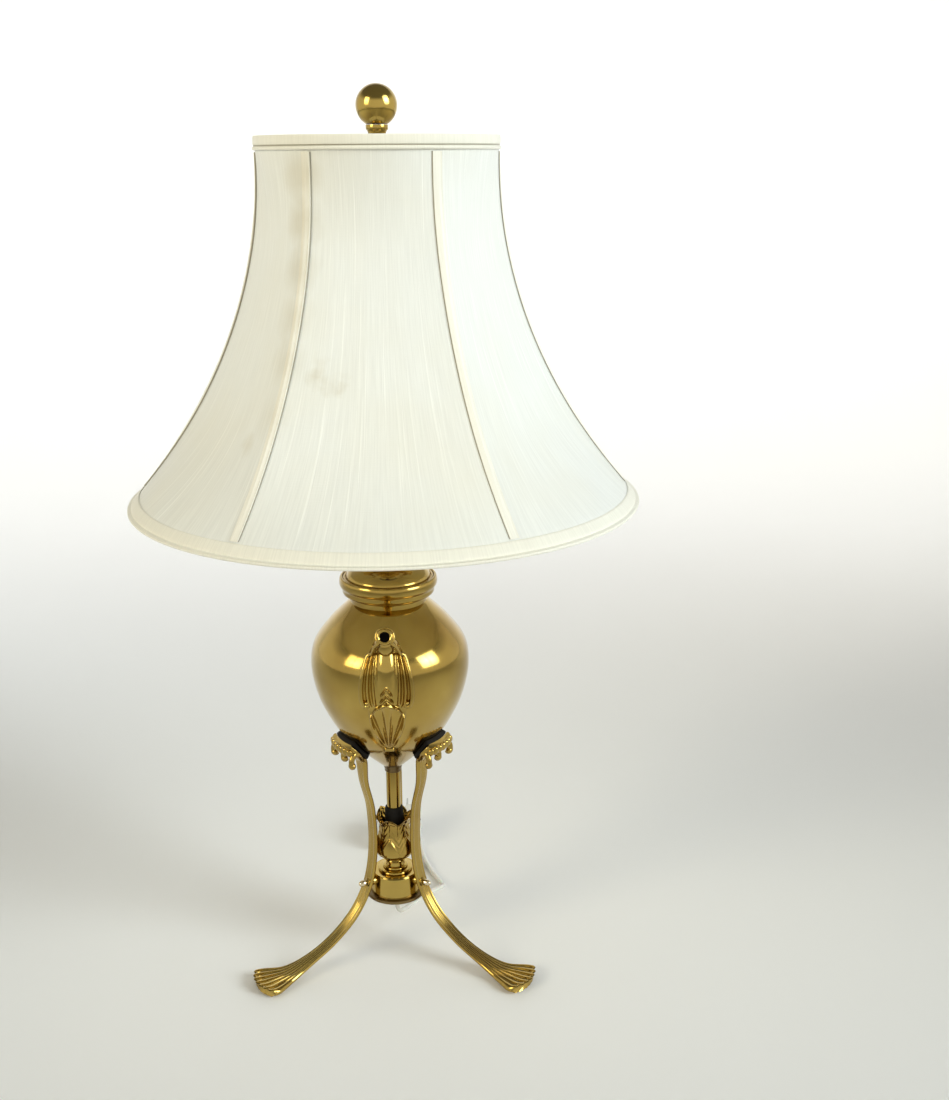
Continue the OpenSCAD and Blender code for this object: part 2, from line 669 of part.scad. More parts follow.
rivet_r = 2;
RIVET_Z = [kettle_z + 0.44 * kettle_h, kettle_z + 0.8 * kettle_h];
module kettle_handle() {
    high = [kettle_at(RIVET_Z[1]), RIVET_Z[1]];
    low = [kettle_at(RIVET_Z[0]), RIVET_Z[0]];
    reach = kettle_r + handle_out - handle_d / 2;
    path = [for (q = smooth([high + [-3, 0], high + [8, 4], high + [20, 8], [reach - 6, RIVET_Z[1] - 2],
        [reach, 0.55 * RIVET_Z[1] + 0.45 * RIVET_Z[0]], [reach - 1.6, RIVET_Z[0] + 12],
        [reach - 9, RIVET_Z[0]], low + [16, -2.5], low + [7, -1.5], low + [-3, 0]], 3)) [0, q[0], q[1]]];
    n = len(path) - 1;
    radii = [for (i = [0:n])
        handle_d / 2 * (0.8 + 0.3 * pow(abs(2 * i / n - 1), 4) + 0.2 * sin(180 * i / n))];
    color(brass)
        difference() {
            loft(tube_rings(path, radii, 10, [1, 0, 0]));
            kettle_outside();
            for (z = RIVET_Z)
                translate([0, 0, z]) rotate([-90, 0, 0]) cylinder(r = rivet_r + 0.05, h = kettle_r + 3);
        }
}

module handle_rivets() {
    color(brass)
        for (z = RIVET_Z)
            translate([0, kettle_at(z) - 6, z]) rotate([-90, 0, 0]) {
                cylinder(r = rivet_r, h = 8);
                translate([0, 0, -1.4]) cylinder(r1 = 2.6, r2 = 3.6, h = 1.4);
            }
}

module neck_spacer() {
    color(brass)
        rotate_extrude()
            polygon([[pipe_hole, lid_top], [10, lid_top], [10.4, lid_top + 1.6], [8, lid_top + 3],
                [6.6, lid_top + 6], [6.6, saddle_z - 6], [8, saddle_z - 3], [9.4, saddle_z - 1.6],
                [9.4, saddle_z], [pipe_hole, saddle_z]]);
}

arm_top = saddle_z + 16;
arm_r = 1.6;
shoulder_z = saddle_z + 8;
module harp_saddle() {
    color(brass)
        difference() {
            union() {
                translate([-arm_x - 4, -6, saddle_z]) cube([2 * arm_x + 8, 12, saddle_t]);
                translate([0, 0, saddle_z]) cylinder(r = 11, h = saddle_t);
                for (side = [-1, 1])
                    translate([side * arm_x, 0, saddle_z]) {
                        cylinder(r = 3.6, h = shoulder_z - saddle_z);
                        cylinder(r = arm_r, h = arm_top - saddle_z);
                    }
            }
            translate([0, 0, saddle_z - 1]) cylinder(r = pipe_hole, h = saddle_t + 2);
        }
}

module saddle_nut() {
    color(brass) translate([0, 0, saddle_z + saddle_t]) bored(8, pipe_d / 2 + 0.05, lock_t);
}

// The right half of the harp's wire, from its foot on the saddle to the top plate
harp_plate_r = 9;
harp_plate_t = 2;
foot_rise = 22;
HARP = smooth([
    [arm_x, arm_top + 2], [arm_x, arm_top + foot_rise], [arm_x + 3, arm_top + foot_rise + 14],
    [harp_half * 0.82, arm_top + 0.19 * harp_h], [harp_half, arm_top + 0.36 * harp_h],
    [harp_half * 0.93, arm_top + 0.54 * harp_h], [harp_half * 0.66, arm_top + 0.73 * harp_h],
    [harp_half * 0.34, arm_top + 0.86 * harp_h], [9, harp_top - harp_plate_t - 7],
    [6, harp_top - harp_plate_t - 2.5], [6, harp_top - harp_plate_t / 2]], 3);
module harp() {
    color(brass)
        union() {
            for (side = [-1, 1])
                tube([for (q = HARP) [side * q[0], 0, q[1]]], wire_d / 2, 8, [0, 1, 0]);
            for (side = [-1, 1])
                translate([side * arm_x, 0, arm_top]) cylinder(r = wire_d / 2, h = foot_rise);
            translate([0, 0, harp_top - harp_plate_t]) cylinder(r = harp_plate_r, h = harp_plate_t);
        }
}

stud_r = 3.1;
stud_h = 14;
module harp_stud() {
    color(brass)
        translate([0, 0, harp_top]) cylinder(r = stud_r, h = stud_h);
}

ferrule_h = 14;
module ferrule(side) {
    color(brass) translate([side * arm_x, 0, shoulder_z]) bored(3.4, wire_d / 2 + 0.35, ferrule_h);
}
module ferrule_left() ferrule(-1);
module ferrule_right() ferrule(1);

shell_t = 0.8;
module socket_cap() {
    color(brass)
        rotate_extrude($fn = 96)
            polygon([[pipe_d / 2 + 0.05, cap_z], [8, cap_z], [8, cap_z + 4],
                [12, cap_z + 6], [shell_r - 1, cap_z + 11], [shell_r + 0.6, cap_z + 13.5],
                [shell_r + 0.6, shell_z], [shell_r - shell_t, shell_z],
                [shell_r - shell_t, cap_z + 13], [11, cap_z + 7], [pipe_d / 2 + 0.05, cap_z + 6]]);
}

stem_hole_r = 3.4;
switch_z = shell_z + 12;
module socket_shell() {
    color(brass)
        difference() {
            rotate_extrude($fn = 96)
                polygon([[shell_r - shell_t, shell_z], [shell_r, shell_z], [shell_r, shell_top - 6],
                    [shell_r + 0.9, shell_top - 4.8], [shell_r + 0.9, shell_top - 3.4],
                    [shell_r, shell_top - 2.4], [shell_r, shell_top], [shell_r - shell_t, shell_top]]);
            translate([0, 0, switch_z]) rotate([90, 0, 0]) cylinder(r = stem_hole_r, h = 30);
        }
}

liner_t = 0.8;
module socket_liner() {
    outer = shell_r - shell_t - 0.05;
    color("#7a6a50")
        difference() {
            translate([0, 0, shell_z]) bored(outer, outer - liner_t, shell_h - 1);
            translate([0, 0, switch_z]) rotate([90, 0, 0]) cylinder(r = stem_hole_r, h = 30);
        }
}

body_top = shell_z + 18;
screw_t = 0.5;
thread_r = bulb_base_r + 0.4;
module socket_body() {
    outer = shell_r - shell_t - liner_t - 0.1;
    color(black)
        difference() {
            union() {
                translate([0, 0, shell_z]) cylinder(r = outer, h = body_top - shell_z);
                translate([0, 0, cap_z + 13]) cylinder(r = 9, h = shell_z - cap_z - 13);
            }
            translate([0, 0, switch_z]) rotate([90, 0, 0]) cylinder(r = 2.6, h = 30);
            translate([0, 0, cap_z + 12]) cylinder(r = cord_d / 2 + 0.2, h = 8);
        }
}

screw_top = shell_top - 3;
module screw_shell() {
    color(brass)
        rotate_extrude()
            polygon([[6, body_top], [thread_r + screw_t, body_top], [thread_r + screw_t, screw_top],
                [thread_r, screw_top], [thread_r, body_top + screw_t], [6, body_top + screw_t]]);
}

contact_h = 2.2;
module centre_contact() {
    color(brass)
        translate([0, 0, body_top]) {
            cylinder(r = 4, h = 0.8);
            cylinder(r = 2.4, h = contact_h);
        }
}

knob_r = 5.2;
stem_r = 2.3;
knob_y = shell_r + 7;
module switch_stem() {
    color(brass)
        translate([0, -10, switch_z]) rotate([90, 0, 0]) cylinder(r = stem_r, h = knob_y - 4);
}

module switch_knob() {
    lobes = 12;
    color(black)
        translate([0, -knob_y, switch_z]) rotate([90, 0, 0])
            difference() {
                rotate_extrude()
                    polygon([[0, 0], [knob_r - 1.4, 0], [knob_r - 0.6, 1.6], [knob_r, knob_len * 0.5],
                        [knob_r - 0.3, knob_len - 1.4], [knob_r - 1.6, knob_len], [0, knob_len]]);
                for (i = [0:lobes - 1])
                    rotate([0, 0, i * 360 / lobes]) translate([knob_r + 0.35, 0, -1])
                        cylinder(r = 0.8, h = knob_len + 2, $fn = 16);
                translate([0, 0, -1]) cylinder(r = stem_r, h = 7);
            }
}

// The bulb stands on the contact and its screw base fills the threaded shell
bulb_z = body_top + contact_h;
base_h = 24;
glass_z = bulb_z + base_h;
BULB_CURVE = [
    [0.42, 0], [0.44, 0.1], [0.6, 0.28], [0.86, 0.48], [0.99, 0.66], [0.95, 0.82], [0.7, 0.94],
    [0.36, 0.99], [0, 1]];
module bulb_base() {
    rounds = 6;
    pitch = 3.2;
    color(steel)
        rotate_extrude()
            polygon(concat([[0, bulb_z], [3, bulb_z], [4, bulb_z + 1.2], [9, bulb_z + 3]],
                [for (i = [0:rounds - 1]) each [[bulb_base_r - 0.9, bulb_z + 3.6 + i * pitch],
                    [bulb_base_r, bulb_z + 5.2 + i * pitch]]],
                [[bulb_base_r - 0.9, glass_z], [0, glass_z]]));
}

module bulb_glass() {
    tall = bulb_h - base_h;
    color(white)
        rotate_extrude()
            polygon(concat([[0, glass_z]],
                smooth([for (q = BULB_CURVE) [q[0] * bulb_r, glass_z + q[1] * tall]], 3)));
}

// Radius of the shade's outside at height z along a rib
function shade_at(z) =
    shade_top_r + (shade_r - shade_top_r) * pow(max(0, (shade_top - z) / shade_h), flare);
panels = 6;
// Share by which the side is drawn in midway between two ribs
function draw_in(z) =
    let (from_edge = min(z - shade_z, shade_top - z) - trim_h)
    panel_flat * sin(90 * min(1, max(0, from_edge) / (0.26 * shade_h)));
// Radius at height z and turn a, where the ribs stand midway between the panels' middles
function panel_at(z, a) =
    let (half = 180 / panels, off = abs((a + 90 + half + 720) % (2 * half) - half),
        flat = cos(half) / cos(off))
    shade_at(z) * (1 - draw_in(z) * (1 - flat));

edge_in = 3;
around = 36;
rows = 12;
// Levels shared by the silk, the lining, the ribs and the tapes, closer towards the flared edge
inner_rows = rows - 2;
LEVELS = concat([shade_z + edge_in],
    [for (i = [0:inner_rows])
        shade_z + trim_h + (shade_h - 2 * trim_h) * pow(i / inner_rows, 1.15)],
    [shade_top - edge_in]);
// How much longer than level a distance square to the flared wall is
steep = norm([1, flare * (shade_r - shade_top_r) / shade_h]);
facet_in = shade_r * (1 - cos(180 / around));

// Ring-shaped wall inside the shade's outline, from its lowest level to level number top
module skin(off, t, top) {
    m = around;
    points = [for (side = [0, 1]) for (i = [0:top]) for (j = [0:m - 1])
        let (z = LEVELS[i], a = 360 * j / m, r = panel_at(z, a) - off - side * t)
        [r * cos(a), r * sin(a), z]];
    half = (top + 1) * m;
    faces = concat(
        [for (i = [0:top - 1]) for (j = [0:m - 1]) let (k = (j + 1) % m, p = i * m) each [
            [p + j, p + m + j, p + m + k], [p + j, p + m + k, p + k],
            [half + p + j, half + p + m + k, half + p + m + j],
            [half + p + j, half + p + k, half + p + m + k]]],
        [for (j = [0:m - 1]) let (k = (j + 1) % m, p = top * m) each [
            [j, k, half + k], [j, half + k, half + j],
            [p + k, p + j, half + p + j], [p + k, half + p + j, half + p + k]]]);
    polyhedron(points, faces);
}

module shade_silk() {
    color(ivory) skin(0, silk_t, rows);
}

rib_off = silk_t + (rib_d / 2 + 2 * gap) * steep;
lining_off = rib_off + facet_in + (rib_d / 2 + gap) * steep;
module shade_lining() {
    color(white) skin(lining_off, lining_t, rows - 1);
}

ring_low = shade_z + edge_in + 1.4;
ring_high = shade_top - edge_in - 1.4;
RIB_TURNS = [for (i = [0:panels - 1]) i * 360 / panels];
function ring_at(z) = shade_at(z) - facet_in * shade_at(z) / shade_r - rib_off;
module frame_ring(z) {
    translate([0, 0, z]) rotate_extrude($fn = 96)
        translate([ring_at(z), 0]) circle(r = rib_d / 2, $fn = 24);
}

module shade_frame() {
    levels = concat([ring_low], [for (i = [1:rows - 1]) LEVELS[i]], [ring_high]);
    rib = [for (z = levels) [shade_at(z) - rib_off, 0, z]];
    color(steel) {
        frame_ring(ring_low);
        frame_ring(ring_high);
        for (a = RIB_TURNS)
            rotate([0, 0, a]) tube(rib, rib_d / 2 * 0.9, 6, [0, 1, 0]);
    }
}

hub_r = 12;
hub_bore_r = stud_r + 0.6;
spider_arms = 3;
module shade_spider() {
    ring_r = ring_at(ring_high);
    rise = ring_high - harp_top - hub_t / 2;
    run = ring_r - hub_r + 2;
    color(steel)
        difference() {
            union() {
                translate([0, 0, harp_top]) bored(hub_r, hub_bore_r, hub_t);
                for (i = [0:spider_arms - 1])
                    rotate([0, 0, 30 + i * 360 / spider_arms])
                        translate([hub_r - 2, 0, harp_top + hub_t / 2])
                            rotate([0, atan2(run, rise), 0])
                                cylinder(r = rib_d / 2 * 0.6, h = norm([run, rise]));
            }
            translate([0, 0, ring_high]) rotate_extrude($fn = 96)
                translate([ring_r, 0]) circle(r = rib_d / 2, $fn = 24);
        }
}

trim_t = 0.9;
cord_edge_r = 1.3;
trim_off = 0.8;
// Bound edge: a folded band over the silk's edge, with a corded line where it ends
module bound_edge(z_edge, dir) {
    steps = 4;
    levels = [for (i = [0:steps]) z_edge + dir * trim_h * i / steps];
    outer = [for (z = levels) [shade_at(z) + trim_off + trim_t, z]];
    inner = [for (i = [steps:-1:0]) [shade_at(levels[i]) + trim_off, levels[i]]];
    fold = [shade_at(z_edge) - lining_off - lining_t - 0.4, edge_in - gap];
    r_edge = shade_at(z_edge) + trim_off + trim_t;
    color(white)
        union() {
            rotate_extrude($fn = 96) polygon(concat(outer, inner));
            rotate_extrude($fn = 96)
                polygon([[r_edge, z_edge], [r_edge, z_edge + dir * fold[1]],
                    [fold[0], z_edge + dir * fold[1]], [fold[0], z_edge]]);
            translate([0, 0, z_edge + dir * trim_h]) rotate_extrude($fn = 96)
                translate([shade_at(z_edge + dir * trim_h) + trim_off + cord_edge_r * 0.8, 0])
                    circle(r = cord_edge_r, $fn = 24);
        }
}
module shade_top_trim() bound_edge(shade_top, -1);
module shade_bottom_trim() bound_edge(shade_z, 1);

module seam_tapes() {
    clear = 3;
    levels = concat([shade_z + trim_h + clear], [for (i = [2:rows - 2]) LEVELS[i]],
        [shade_top - trim_h - clear]);
    color(ivory)
        for (a = RIB_TURNS)
            rotate([0, 0, a])
                loft([for (z = levels)
                    [for (q = [[-1, 0], [0, 0], [1, 0], [1, 1], [0, 1], [-1, 1]])
                        let (turn = q[0] * seam_w / 2 / shade_at(z) * 180 / PI,
                            r = panel_at(z, turn) + 0.6 + (1 - q[1]) * 0.7)
                        [r * cos(turn), r * sin(turn), z]]]);
}

hub_top = harp_top + hub_t;
ball_z = hub_top + ball_rise;
module finial_neck() {
    top = ball_z - ball_r * 0.86;
    color(brass)
        rotate_extrude()
            polygon([[stud_r + 0.2, hub_top], [finial_neck_r + 1, hub_top],
                [finial_neck_r + 1, hub_top + 2], [finial_neck_r - 1.6, hub_top + 4],
                [finial_neck_r - 1.6, top - 5], [finial_neck_r, top - 4], [finial_neck_r, top],
                [0, top], [0, hub_top + stud_h + 1], [stud_r + 0.2, hub_top + stud_h + 1]]);
}

module finial_ball() {
    color(brass)
        difference() {
            translate([0, 0, ball_z]) sphere(r = ball_r, $fn = 64);
            translate([0, 0, ball_z - 2 * ball_r]) cylinder(r = 2 * ball_r, h = 1.14 * ball_r);
        }
}

module inner_lead() {
    color(white)
        translate([0, 0, cord_exit]) cylinder(r = cord_d / 2, h = cap_z + 16 - cord_exit);
}

// The cord's way from the bush to its coil, chosen by hand
CORD_POINTS = [
    [0, 0, 43], [1, 2, 35.5], [3.4, 7.2, 29.5], [7.4, 14.8, 27], [12.4, 22.6, 26], [18, 31.5, 25],
    [24, 41, 23.5], [29.5, 51, 21.5], [34.5, 61, 18.5], [38.5, 71, 14.5], [40.5, 80.5, 10],
    [40.5, 90, 5.5], [38.5, 99.5, 2.8], [35, 108.5, 2.2], [31, 117.5, 2.2], [27.5, 127, 2.2],
    [24.5, 136.5, 2.2], [22, 146, 2.2], [19.6, 156, 2.2], [17.8, 166, 2.2], [17, 176, 2.2]];
coil_x = -9;
coil_y = 186;
cord_z = cord_d / 2 + 0.2;
coil_layers = 4;
layer_turns = 2.375;
coil_out = coil_mid_r + coil_pitch * layer_turns / 2;
coil_in = coil_mid_r - coil_pitch * layer_turns / 2;
coil_start = [coil_x + coil_out, coil_y, cord_z];
CORD_RUN = concat([[0, 0, cord_exit]], CORD_POINTS,
    [coil_start - [0, cord_d, 0], coil_start]);

module cord_run() {
    color(white) tube(CORD_RUN, cord_d / 2, 8, [1, 0, 0]);
    echo(cord_run_length = run_length(CORD_RUN));
}

// The coil winds in and out again in layers, and climbs a layer in the half turn between them
per_turn = 24;
stage_turns = layer_turns + 0.5;
function coil_radius(stage, t) =
    let (share = min(t, layer_turns) / layer_turns)
    stage % 2 == 0 ? coil_out + (coil_in - coil_out) * share : coil_in + (coil_out - coil_in) * share;
function coil_point(k) =
    let (turn = k / per_turn, stage = min(floor(turn / stage_turns), coil_layers - 1),
        t = turn - stage * stage_turns, r = coil_radius(stage, t),
        climb = max(0, t - layer_turns) * 2)
    [coil_x + r * cos(360 * turn), coil_y + r * sin(360 * turn), cord_z + coil_pitch * (stage + climb)];
coil_steps = per_turn * coil_layers * stage_turns;
// On top the cord goes on for a quarter turn and bends inwards across the coil to the plug
cross_r = 18;
plug_rise = 4.4;
top_z = cord_z + coil_pitch * coil_layers;
plug_x = coil_x + cross_r;
plug_y = coil_y - coil_out + cross_r + cord_d;
plug_z = top_z + plug_rise;
COIL = concat([coil_start, coil_start + [0, cord_d, 0]], [for (k = [2:coil_steps]) coil_point(k)],
    [for (a = [195:15:270]) [coil_x + coil_out * cos(a), coil_y + coil_out * sin(a), top_z]],
    [for (a = [15:15:90]) [coil_x + cross_r * sin(a), plug_y - cord_d - cross_r * cos(a),
        top_z + plug_rise * (1 - cos(2 * a)) / 2]],
    [[plug_x, plug_y, plug_z]]);
least_gap = -cord_d + min([for (i = [0:len(COIL) - 1]) for (j = [i + 8:1:len(COIL) - 1])
    norm(COIL[i] - COIL[j])]);

module cord_coil() {
    color(white) tube(COIL, cord_d / 2, 6, [1, 0, 0]);
    echo(cord_coil_length = run_length(COIL), least_gap_of_coil = least_gap);
}

plug_len = 26;
module plug_body() {
    color(white)
        translate([plug_x, plug_y, plug_z]) rotate([0, 0, 90]) rotate([0, 90, 0])
            difference() {
                union() {
                    cylinder(r1 = cord_d / 2 + 0.9, r2 = 4.6, h = 9);
                    translate([0, 0, 9]) hull() {
                        translate([0, -4, 0]) cylinder(r = 5, h = plug_len - 9, $fn = 32);
                        translate([0, 4, 0]) cylinder(r = 5, h = plug_len - 9, $fn = 32);
                    }
                }
                for (side = [-1, 1])
                    translate([-3.2, side * 6.35 - 0.75, plug_len - 5]) cube([6.4, 1.5, 6]);
            }
}

module plug_blades() {
    blade = 17;
    color(steel)
        for (side = [-1, 1])
            translate([plug_x, plug_y, plug_z]) rotate([0, 0, 90]) rotate([0, 90, 0])
                translate([-3.2, side * 6.35 - 0.75, plug_len - 5]) cube([6.4, 1.5, blade + 5]);
}

foot_pads();
leg_left();
leg_right();
leg_rear();
leg_spacers();
leg_screws();
ball_nuts();
saddle_pads();
saddle_screws();
saddle_washers();
base_plate();
base_washer();
base_nut();
cord_bush();
burner_drum();
burner_stem();
leaf_cup();
wick_bush();
centre_tube();
tube_collar();
lamp_pipe();
kettle_body();
kettle_lid();
spout();
kettle_handle();
handle_rivets();
neck_spacer();
harp_saddle();
saddle_nut();
harp();
harp_stud();
ferrule_left();
ferrule_right();
socket_cap();
socket_shell();
socket_liner();
socket_body();
screw_shell();
centre_contact();
switch_stem();
switch_knob();
bulb_glass();
bulb_base();
shade_spider();
shade_frame();
shade_silk();
shade_lining();
shade_top_trim();
shade_bottom_trim();
seam_tapes();
finial_neck();
finial_ball();
inner_lead();
cord_run();
cord_coil();
plug_body();
plug_blades();
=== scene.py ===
import math

import bmesh
import bpy
import numpy as np
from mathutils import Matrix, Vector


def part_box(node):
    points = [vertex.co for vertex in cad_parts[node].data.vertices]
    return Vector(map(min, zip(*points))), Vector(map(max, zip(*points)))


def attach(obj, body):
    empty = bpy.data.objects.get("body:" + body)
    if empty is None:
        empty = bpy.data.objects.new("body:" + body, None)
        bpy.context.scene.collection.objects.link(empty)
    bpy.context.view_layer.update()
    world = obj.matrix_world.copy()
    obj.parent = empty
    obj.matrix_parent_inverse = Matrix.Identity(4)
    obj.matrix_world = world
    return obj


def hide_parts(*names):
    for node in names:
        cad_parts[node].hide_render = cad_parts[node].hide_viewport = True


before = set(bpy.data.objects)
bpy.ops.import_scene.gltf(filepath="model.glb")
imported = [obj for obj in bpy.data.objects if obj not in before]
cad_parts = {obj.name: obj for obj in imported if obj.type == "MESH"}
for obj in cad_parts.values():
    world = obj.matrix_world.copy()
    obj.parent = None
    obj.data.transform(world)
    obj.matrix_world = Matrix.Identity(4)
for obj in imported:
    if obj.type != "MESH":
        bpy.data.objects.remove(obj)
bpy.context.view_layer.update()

bl_info = {
    "name": "Kettle lamp",
    "version": (1, 0, 0),
    "blender": (4, 5, 0),
    "location": "3D View > Sidebar > Kettle lamp",
    "description": "Dresses a brass kettle lamp with a bell shade around its packed solids",
    "category": "Object",
}

MM = 0.001

# Sizes of the solids, in millimetres, as the part's source gives them
KETTLE_Z, KETTLE_R, KETTLE_H, KETTLE_WALL = 178, 66.1, 150, 1.2
NECK_R, NECK_Z, LIP_R, LIP_H = 31.6, 328, 40.6, 21
LID_TOP = 360
SADDLE_Z, HARP_TOP = 380, 684
SHADE_R, SHADE_TOP_R, SHADE_Z, SHADE_TOP, FLARE = 203.2, 91.5, 415.6, 695.6, 2.2
TRIM_H, PANELS, PANEL_FLAT, SEAM_W = 10.5, 6, 0.75, 8
BASE_Z, DRUM_H, PLATE_R, PLATE_T = 58.5, 18.5, 26.5, 3
STEM_Z, CUP_Z, CUP_H, CUP_R = 77, 88, 43, 16.2
PAD_T, PIPE_BORE = 4.2, 5.2
# Half the width of a leaf head round the kettle, in degrees, and the flutes on a head or a foot
HEAD_HALF, FLUTES = 21, 7
# The direction of each leg, in degrees about the upright axis
LEG_TURNS = {"leg_left": 120, "leg_right": -120, "leg_rear": 0}

# The photograph's view, in metres, the lens in millimetres, and how much of a window light's
# pane is taken by the bar beside it
CAMERA_AT = (0.05503, -1.05013, 0.6820)
CAMERA_FORWARD = (0.01506, 0.95830, -0.28536)
CAMERA_ROLL = -0.33
LENS, SENSOR = 43.58, 36
BAR_SHARE = 0.07

# Stains on the silk. Beside the left front seam: height, distance from the axis, radius, strength
SEAM_STAINS = ((668, 92, 5, 0.3), (636, 95, 5, 0.34), (604, 101, 5, 0.32), (572, 110, 5, 0.24),
               (540, 122, 4, 0.2), (505, 139, 4, 0.12))
# On the panels: place, radius, strength
PANEL_STAINS = (((-40, -114, 543), 2, 0.2), ((-42, -118, 533), 3, 0.22), ((-30, -120, 527), 3, 0.2),
                ((-24, -121, 530), 2, 0.16), ((-92, -110, 482), 1, 0.2))
# Painted shade lines where a tape's edges and a trim's cord shade the cloth: the texture's axis, the
# place on it, the width, both in millimetres, and strength
TAPE_SHADE_LINE, TRIM_SHADE_LINE = (0, 4.0, 0.5, 0.8), (1, 4.9, 0.8, 0.75)


# Curves and surfaces

def through(points, steps):
    """Points on a smooth curve through the given points: between two of them each coordinate
    is the cubic whose slope at a point is half the step between its two neighbours."""
    p = np.asarray(points, float)
    q = np.concatenate([p[:1], p, p[-1:]])
    a, b, c, d = (q[k:len(q) - 3 + k, None] for k in range(4))
    t = (np.arange(steps) / steps)[None, :, None]
    curve = 0.5 * (2 * b + (c - a) * t + (2 * a - 5 * b + 4 * c - d) * t ** 2
                   + (3 * b - a - 3 * c + d) * t ** 3)
    return np.concatenate([curve.reshape(-1, p.shape[1]), p[-1:]])


def unit(v):
    return v / np.maximum(np.linalg.norm(v, axis=-1, keepdims=True), 1e-12)


def bump_at(x, centre, width):
    """One rounded bump of height 1 at centre, which has died away at width to either side."""
    return np.exp(-((x - centre) / (0.5 * width)) ** 2)


def step_up(x, low, high):
    """Rises smoothly from 0 at low to 1 at high."""
    t = np.clip((x - low) / (high - low), 0, 1)
    return t * t * (3 - 2 * t)


def softened(profile, radius):
    """The closed outline with each corner cut back by radius, or by less on a short side,
    and bridged by the middle of the parabola that touches both sides."""
    p = np.asarray(profile, float)
    before, after = np.roll(p, 1, 0) - p, np.roll(p, -1, 0) - p
    cut_before = np.minimum(radius, 0.4 * np.linalg.norm(before, axis=1))[:, None]
    cut_after = np.minimum(radius, 0.4 * np.linalg.norm(after, axis=1))[:, None]
    first, last = p + unit(before) * cut_before, p + unit(after) * cut_after
    middle = 0.25 * first + 0.5 * p + 0.25 * last
    return np.stack([first, middle, last], 1).reshape(-1, 2)


def grid_faces(rows, cols, wrap_rows, wrap_cols):
    """Four-sided faces of a grid of points numbered row by row, closed onto itself where asked."""
    i = np.arange(rows if wrap_rows else rows - 1)[:, None]
    j = np.arange(cols if wrap_cols else cols - 1)[None, :]
    up, right = (i + 1) % rows, (j + 1) % cols
    return np.stack([i * cols + j, i * cols + right, up * cols + right, up * cols + j], -1).reshape(-1, 4)


class Shell:
    """Collects surfaces of one piece, in millimetres, and makes one mesh object of them."""

    def __init__(self, name):
        self.name, self.points, self.faces, self.count, self.uv = name, [], [], 0, []

    def add(self, grid, wrap_rows=False, wrap_cols=True, ends=True, uv=None):
        """Adds a grid of rows by cols points. Open ends of a tube are closed by a fan to the
        middle of the end ring. uv gives the two texture coordinates of each grid line."""
        rows, cols = grid.shape[:2]
        faces = grid_faces(rows, cols, wrap_rows, wrap_cols) + self.count
        self.points.append(grid.reshape(-1, 3))
        self.faces += faces.tolist()
        if uv is not None:
            i = np.arange(rows if wrap_rows else rows - 1)[:, None]
            j = np.arange(cols if wrap_cols else cols - 1)[None, :]
            across, along = uv
            corners = [(across[j + dj] + 0 * i, along[i + di] + 0 * j)
                       for di, dj in ((0, 0), (0, 1), (1, 1), (1, 0))]
            self.uv.append(np.stack([np.stack(c, -1) for c in corners], 2).reshape(-1, 2))
        first = self.count
        self.count += rows * cols
        if ends and wrap_cols and not wrap_rows:
            ring = np.arange(cols)
            for start, row in ((first, grid[0]), (first + (rows - 1) * cols, grid[-1])):
                self.points.append(row.mean(0)[None])
                fan = np.stack([np.full(cols, self.count), start + ring, start + (ring + 1) % cols], -1)
                self.faces += fan.tolist()
                self.count += 1
        return self

    def tube(self, path, radius, sides, ref, flat=1.0):
        """A round tube: at each point of the path a circle of the given radius stands square
        to the path, with ref as the direction that its sides are counted from."""
        path = np.asarray(path, float)
        along = unit(np.gradient(path, axis=0))
        side = unit(np.cross(along, np.broadcast_to(np.asarray(ref, float), path.shape)))
        other = np.cross(side, along)
        a = (np.arange(sides) + 0.5) * 2 * np.pi / sides
        r = np.broadcast_to(np.asarray(radius, float), (len(path),))[:, None, None]
        grid = path[:, None] + r * (np.cos(a)[None, :, None] * side[:, None]
                                    + flat * np.sin(a)[None, :, None] * other[:, None])
        return self.add(grid)

    def turned(self, profile, segments=96, closed=True):
        """A turned shape: the outline of radius and height goes once round the upright axis."""
        p = np.asarray(profile, float)
        a = np.arange(segments) * 2 * np.pi / segments
        grid = np.stack([p[:, :1] * np.cos(a), p[:, :1] * np.sin(a), p[:, 1:] + 0 * a], -1)
        return self.add(grid, wrap_rows=closed, ends=not closed)

    def ball(self, centre, radii, segments=24):
        """A round or flattened ball with rings from its lowest to its highest point."""
        t = np.linspace(-0.49 * np.pi, 0.49 * np.pi, segments // 2 + 1)[:, None]
        a = np.arange(segments)[None] * 2 * np.pi / segments
        grid = np.stack([np.cos(t) * np.cos(a), np.cos(t) * np.sin(a), np.sin(t) + 0 * a], -1)
        return self.add(np.asarray(centre, float) + grid * np.asarray(radii, float))

    def join(self, other):
        """Adds another shell's surfaces to this one."""
        self.points += other.points
        self.faces += [[k + self.count for k in face] for face in other.faces]
        self.count += other.count
        return self

    def turn(self, matrix):
        """Turns everything added so far by a 3 by 3 matrix."""
        self.points = [p @ np.asarray(matrix, float).T for p in self.points]
        return self

    def make(self, body, slot, material, replaces=(), sharp=40):
        """The finished object, with its faces outward and smooth up to the sharp angle."""
        mesh = bpy.data.meshes.new(self.name)
        mesh.from_pydata((np.concatenate(self.points) * MM).tolist(), [], self.faces)
        if self.uv:
            layer = mesh.uv_layers.new(name="cloth")
            layer.data.foreach_set("uv", (np.concatenate(self.uv) * MM).ravel())
        work = bmesh.new()
        work.from_mesh(mesh)
        bmesh.ops.recalc_face_normals(work, faces=work.faces)
        work.to_mesh(mesh)
        work.free()
        mesh.polygons.foreach_set("use_smooth", np.ones(len(mesh.polygons), bool))
        mesh.set_sharp_from_angle(angle=math.radians(sharp))
        piece = bpy.data.objects.new(self.name, mesh)
        bpy.context.scene.collection.objects.link(piece)
        mesh.materials.append(material)
        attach(piece, body)
        if replaces:
            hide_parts(*replaces)
        return piece


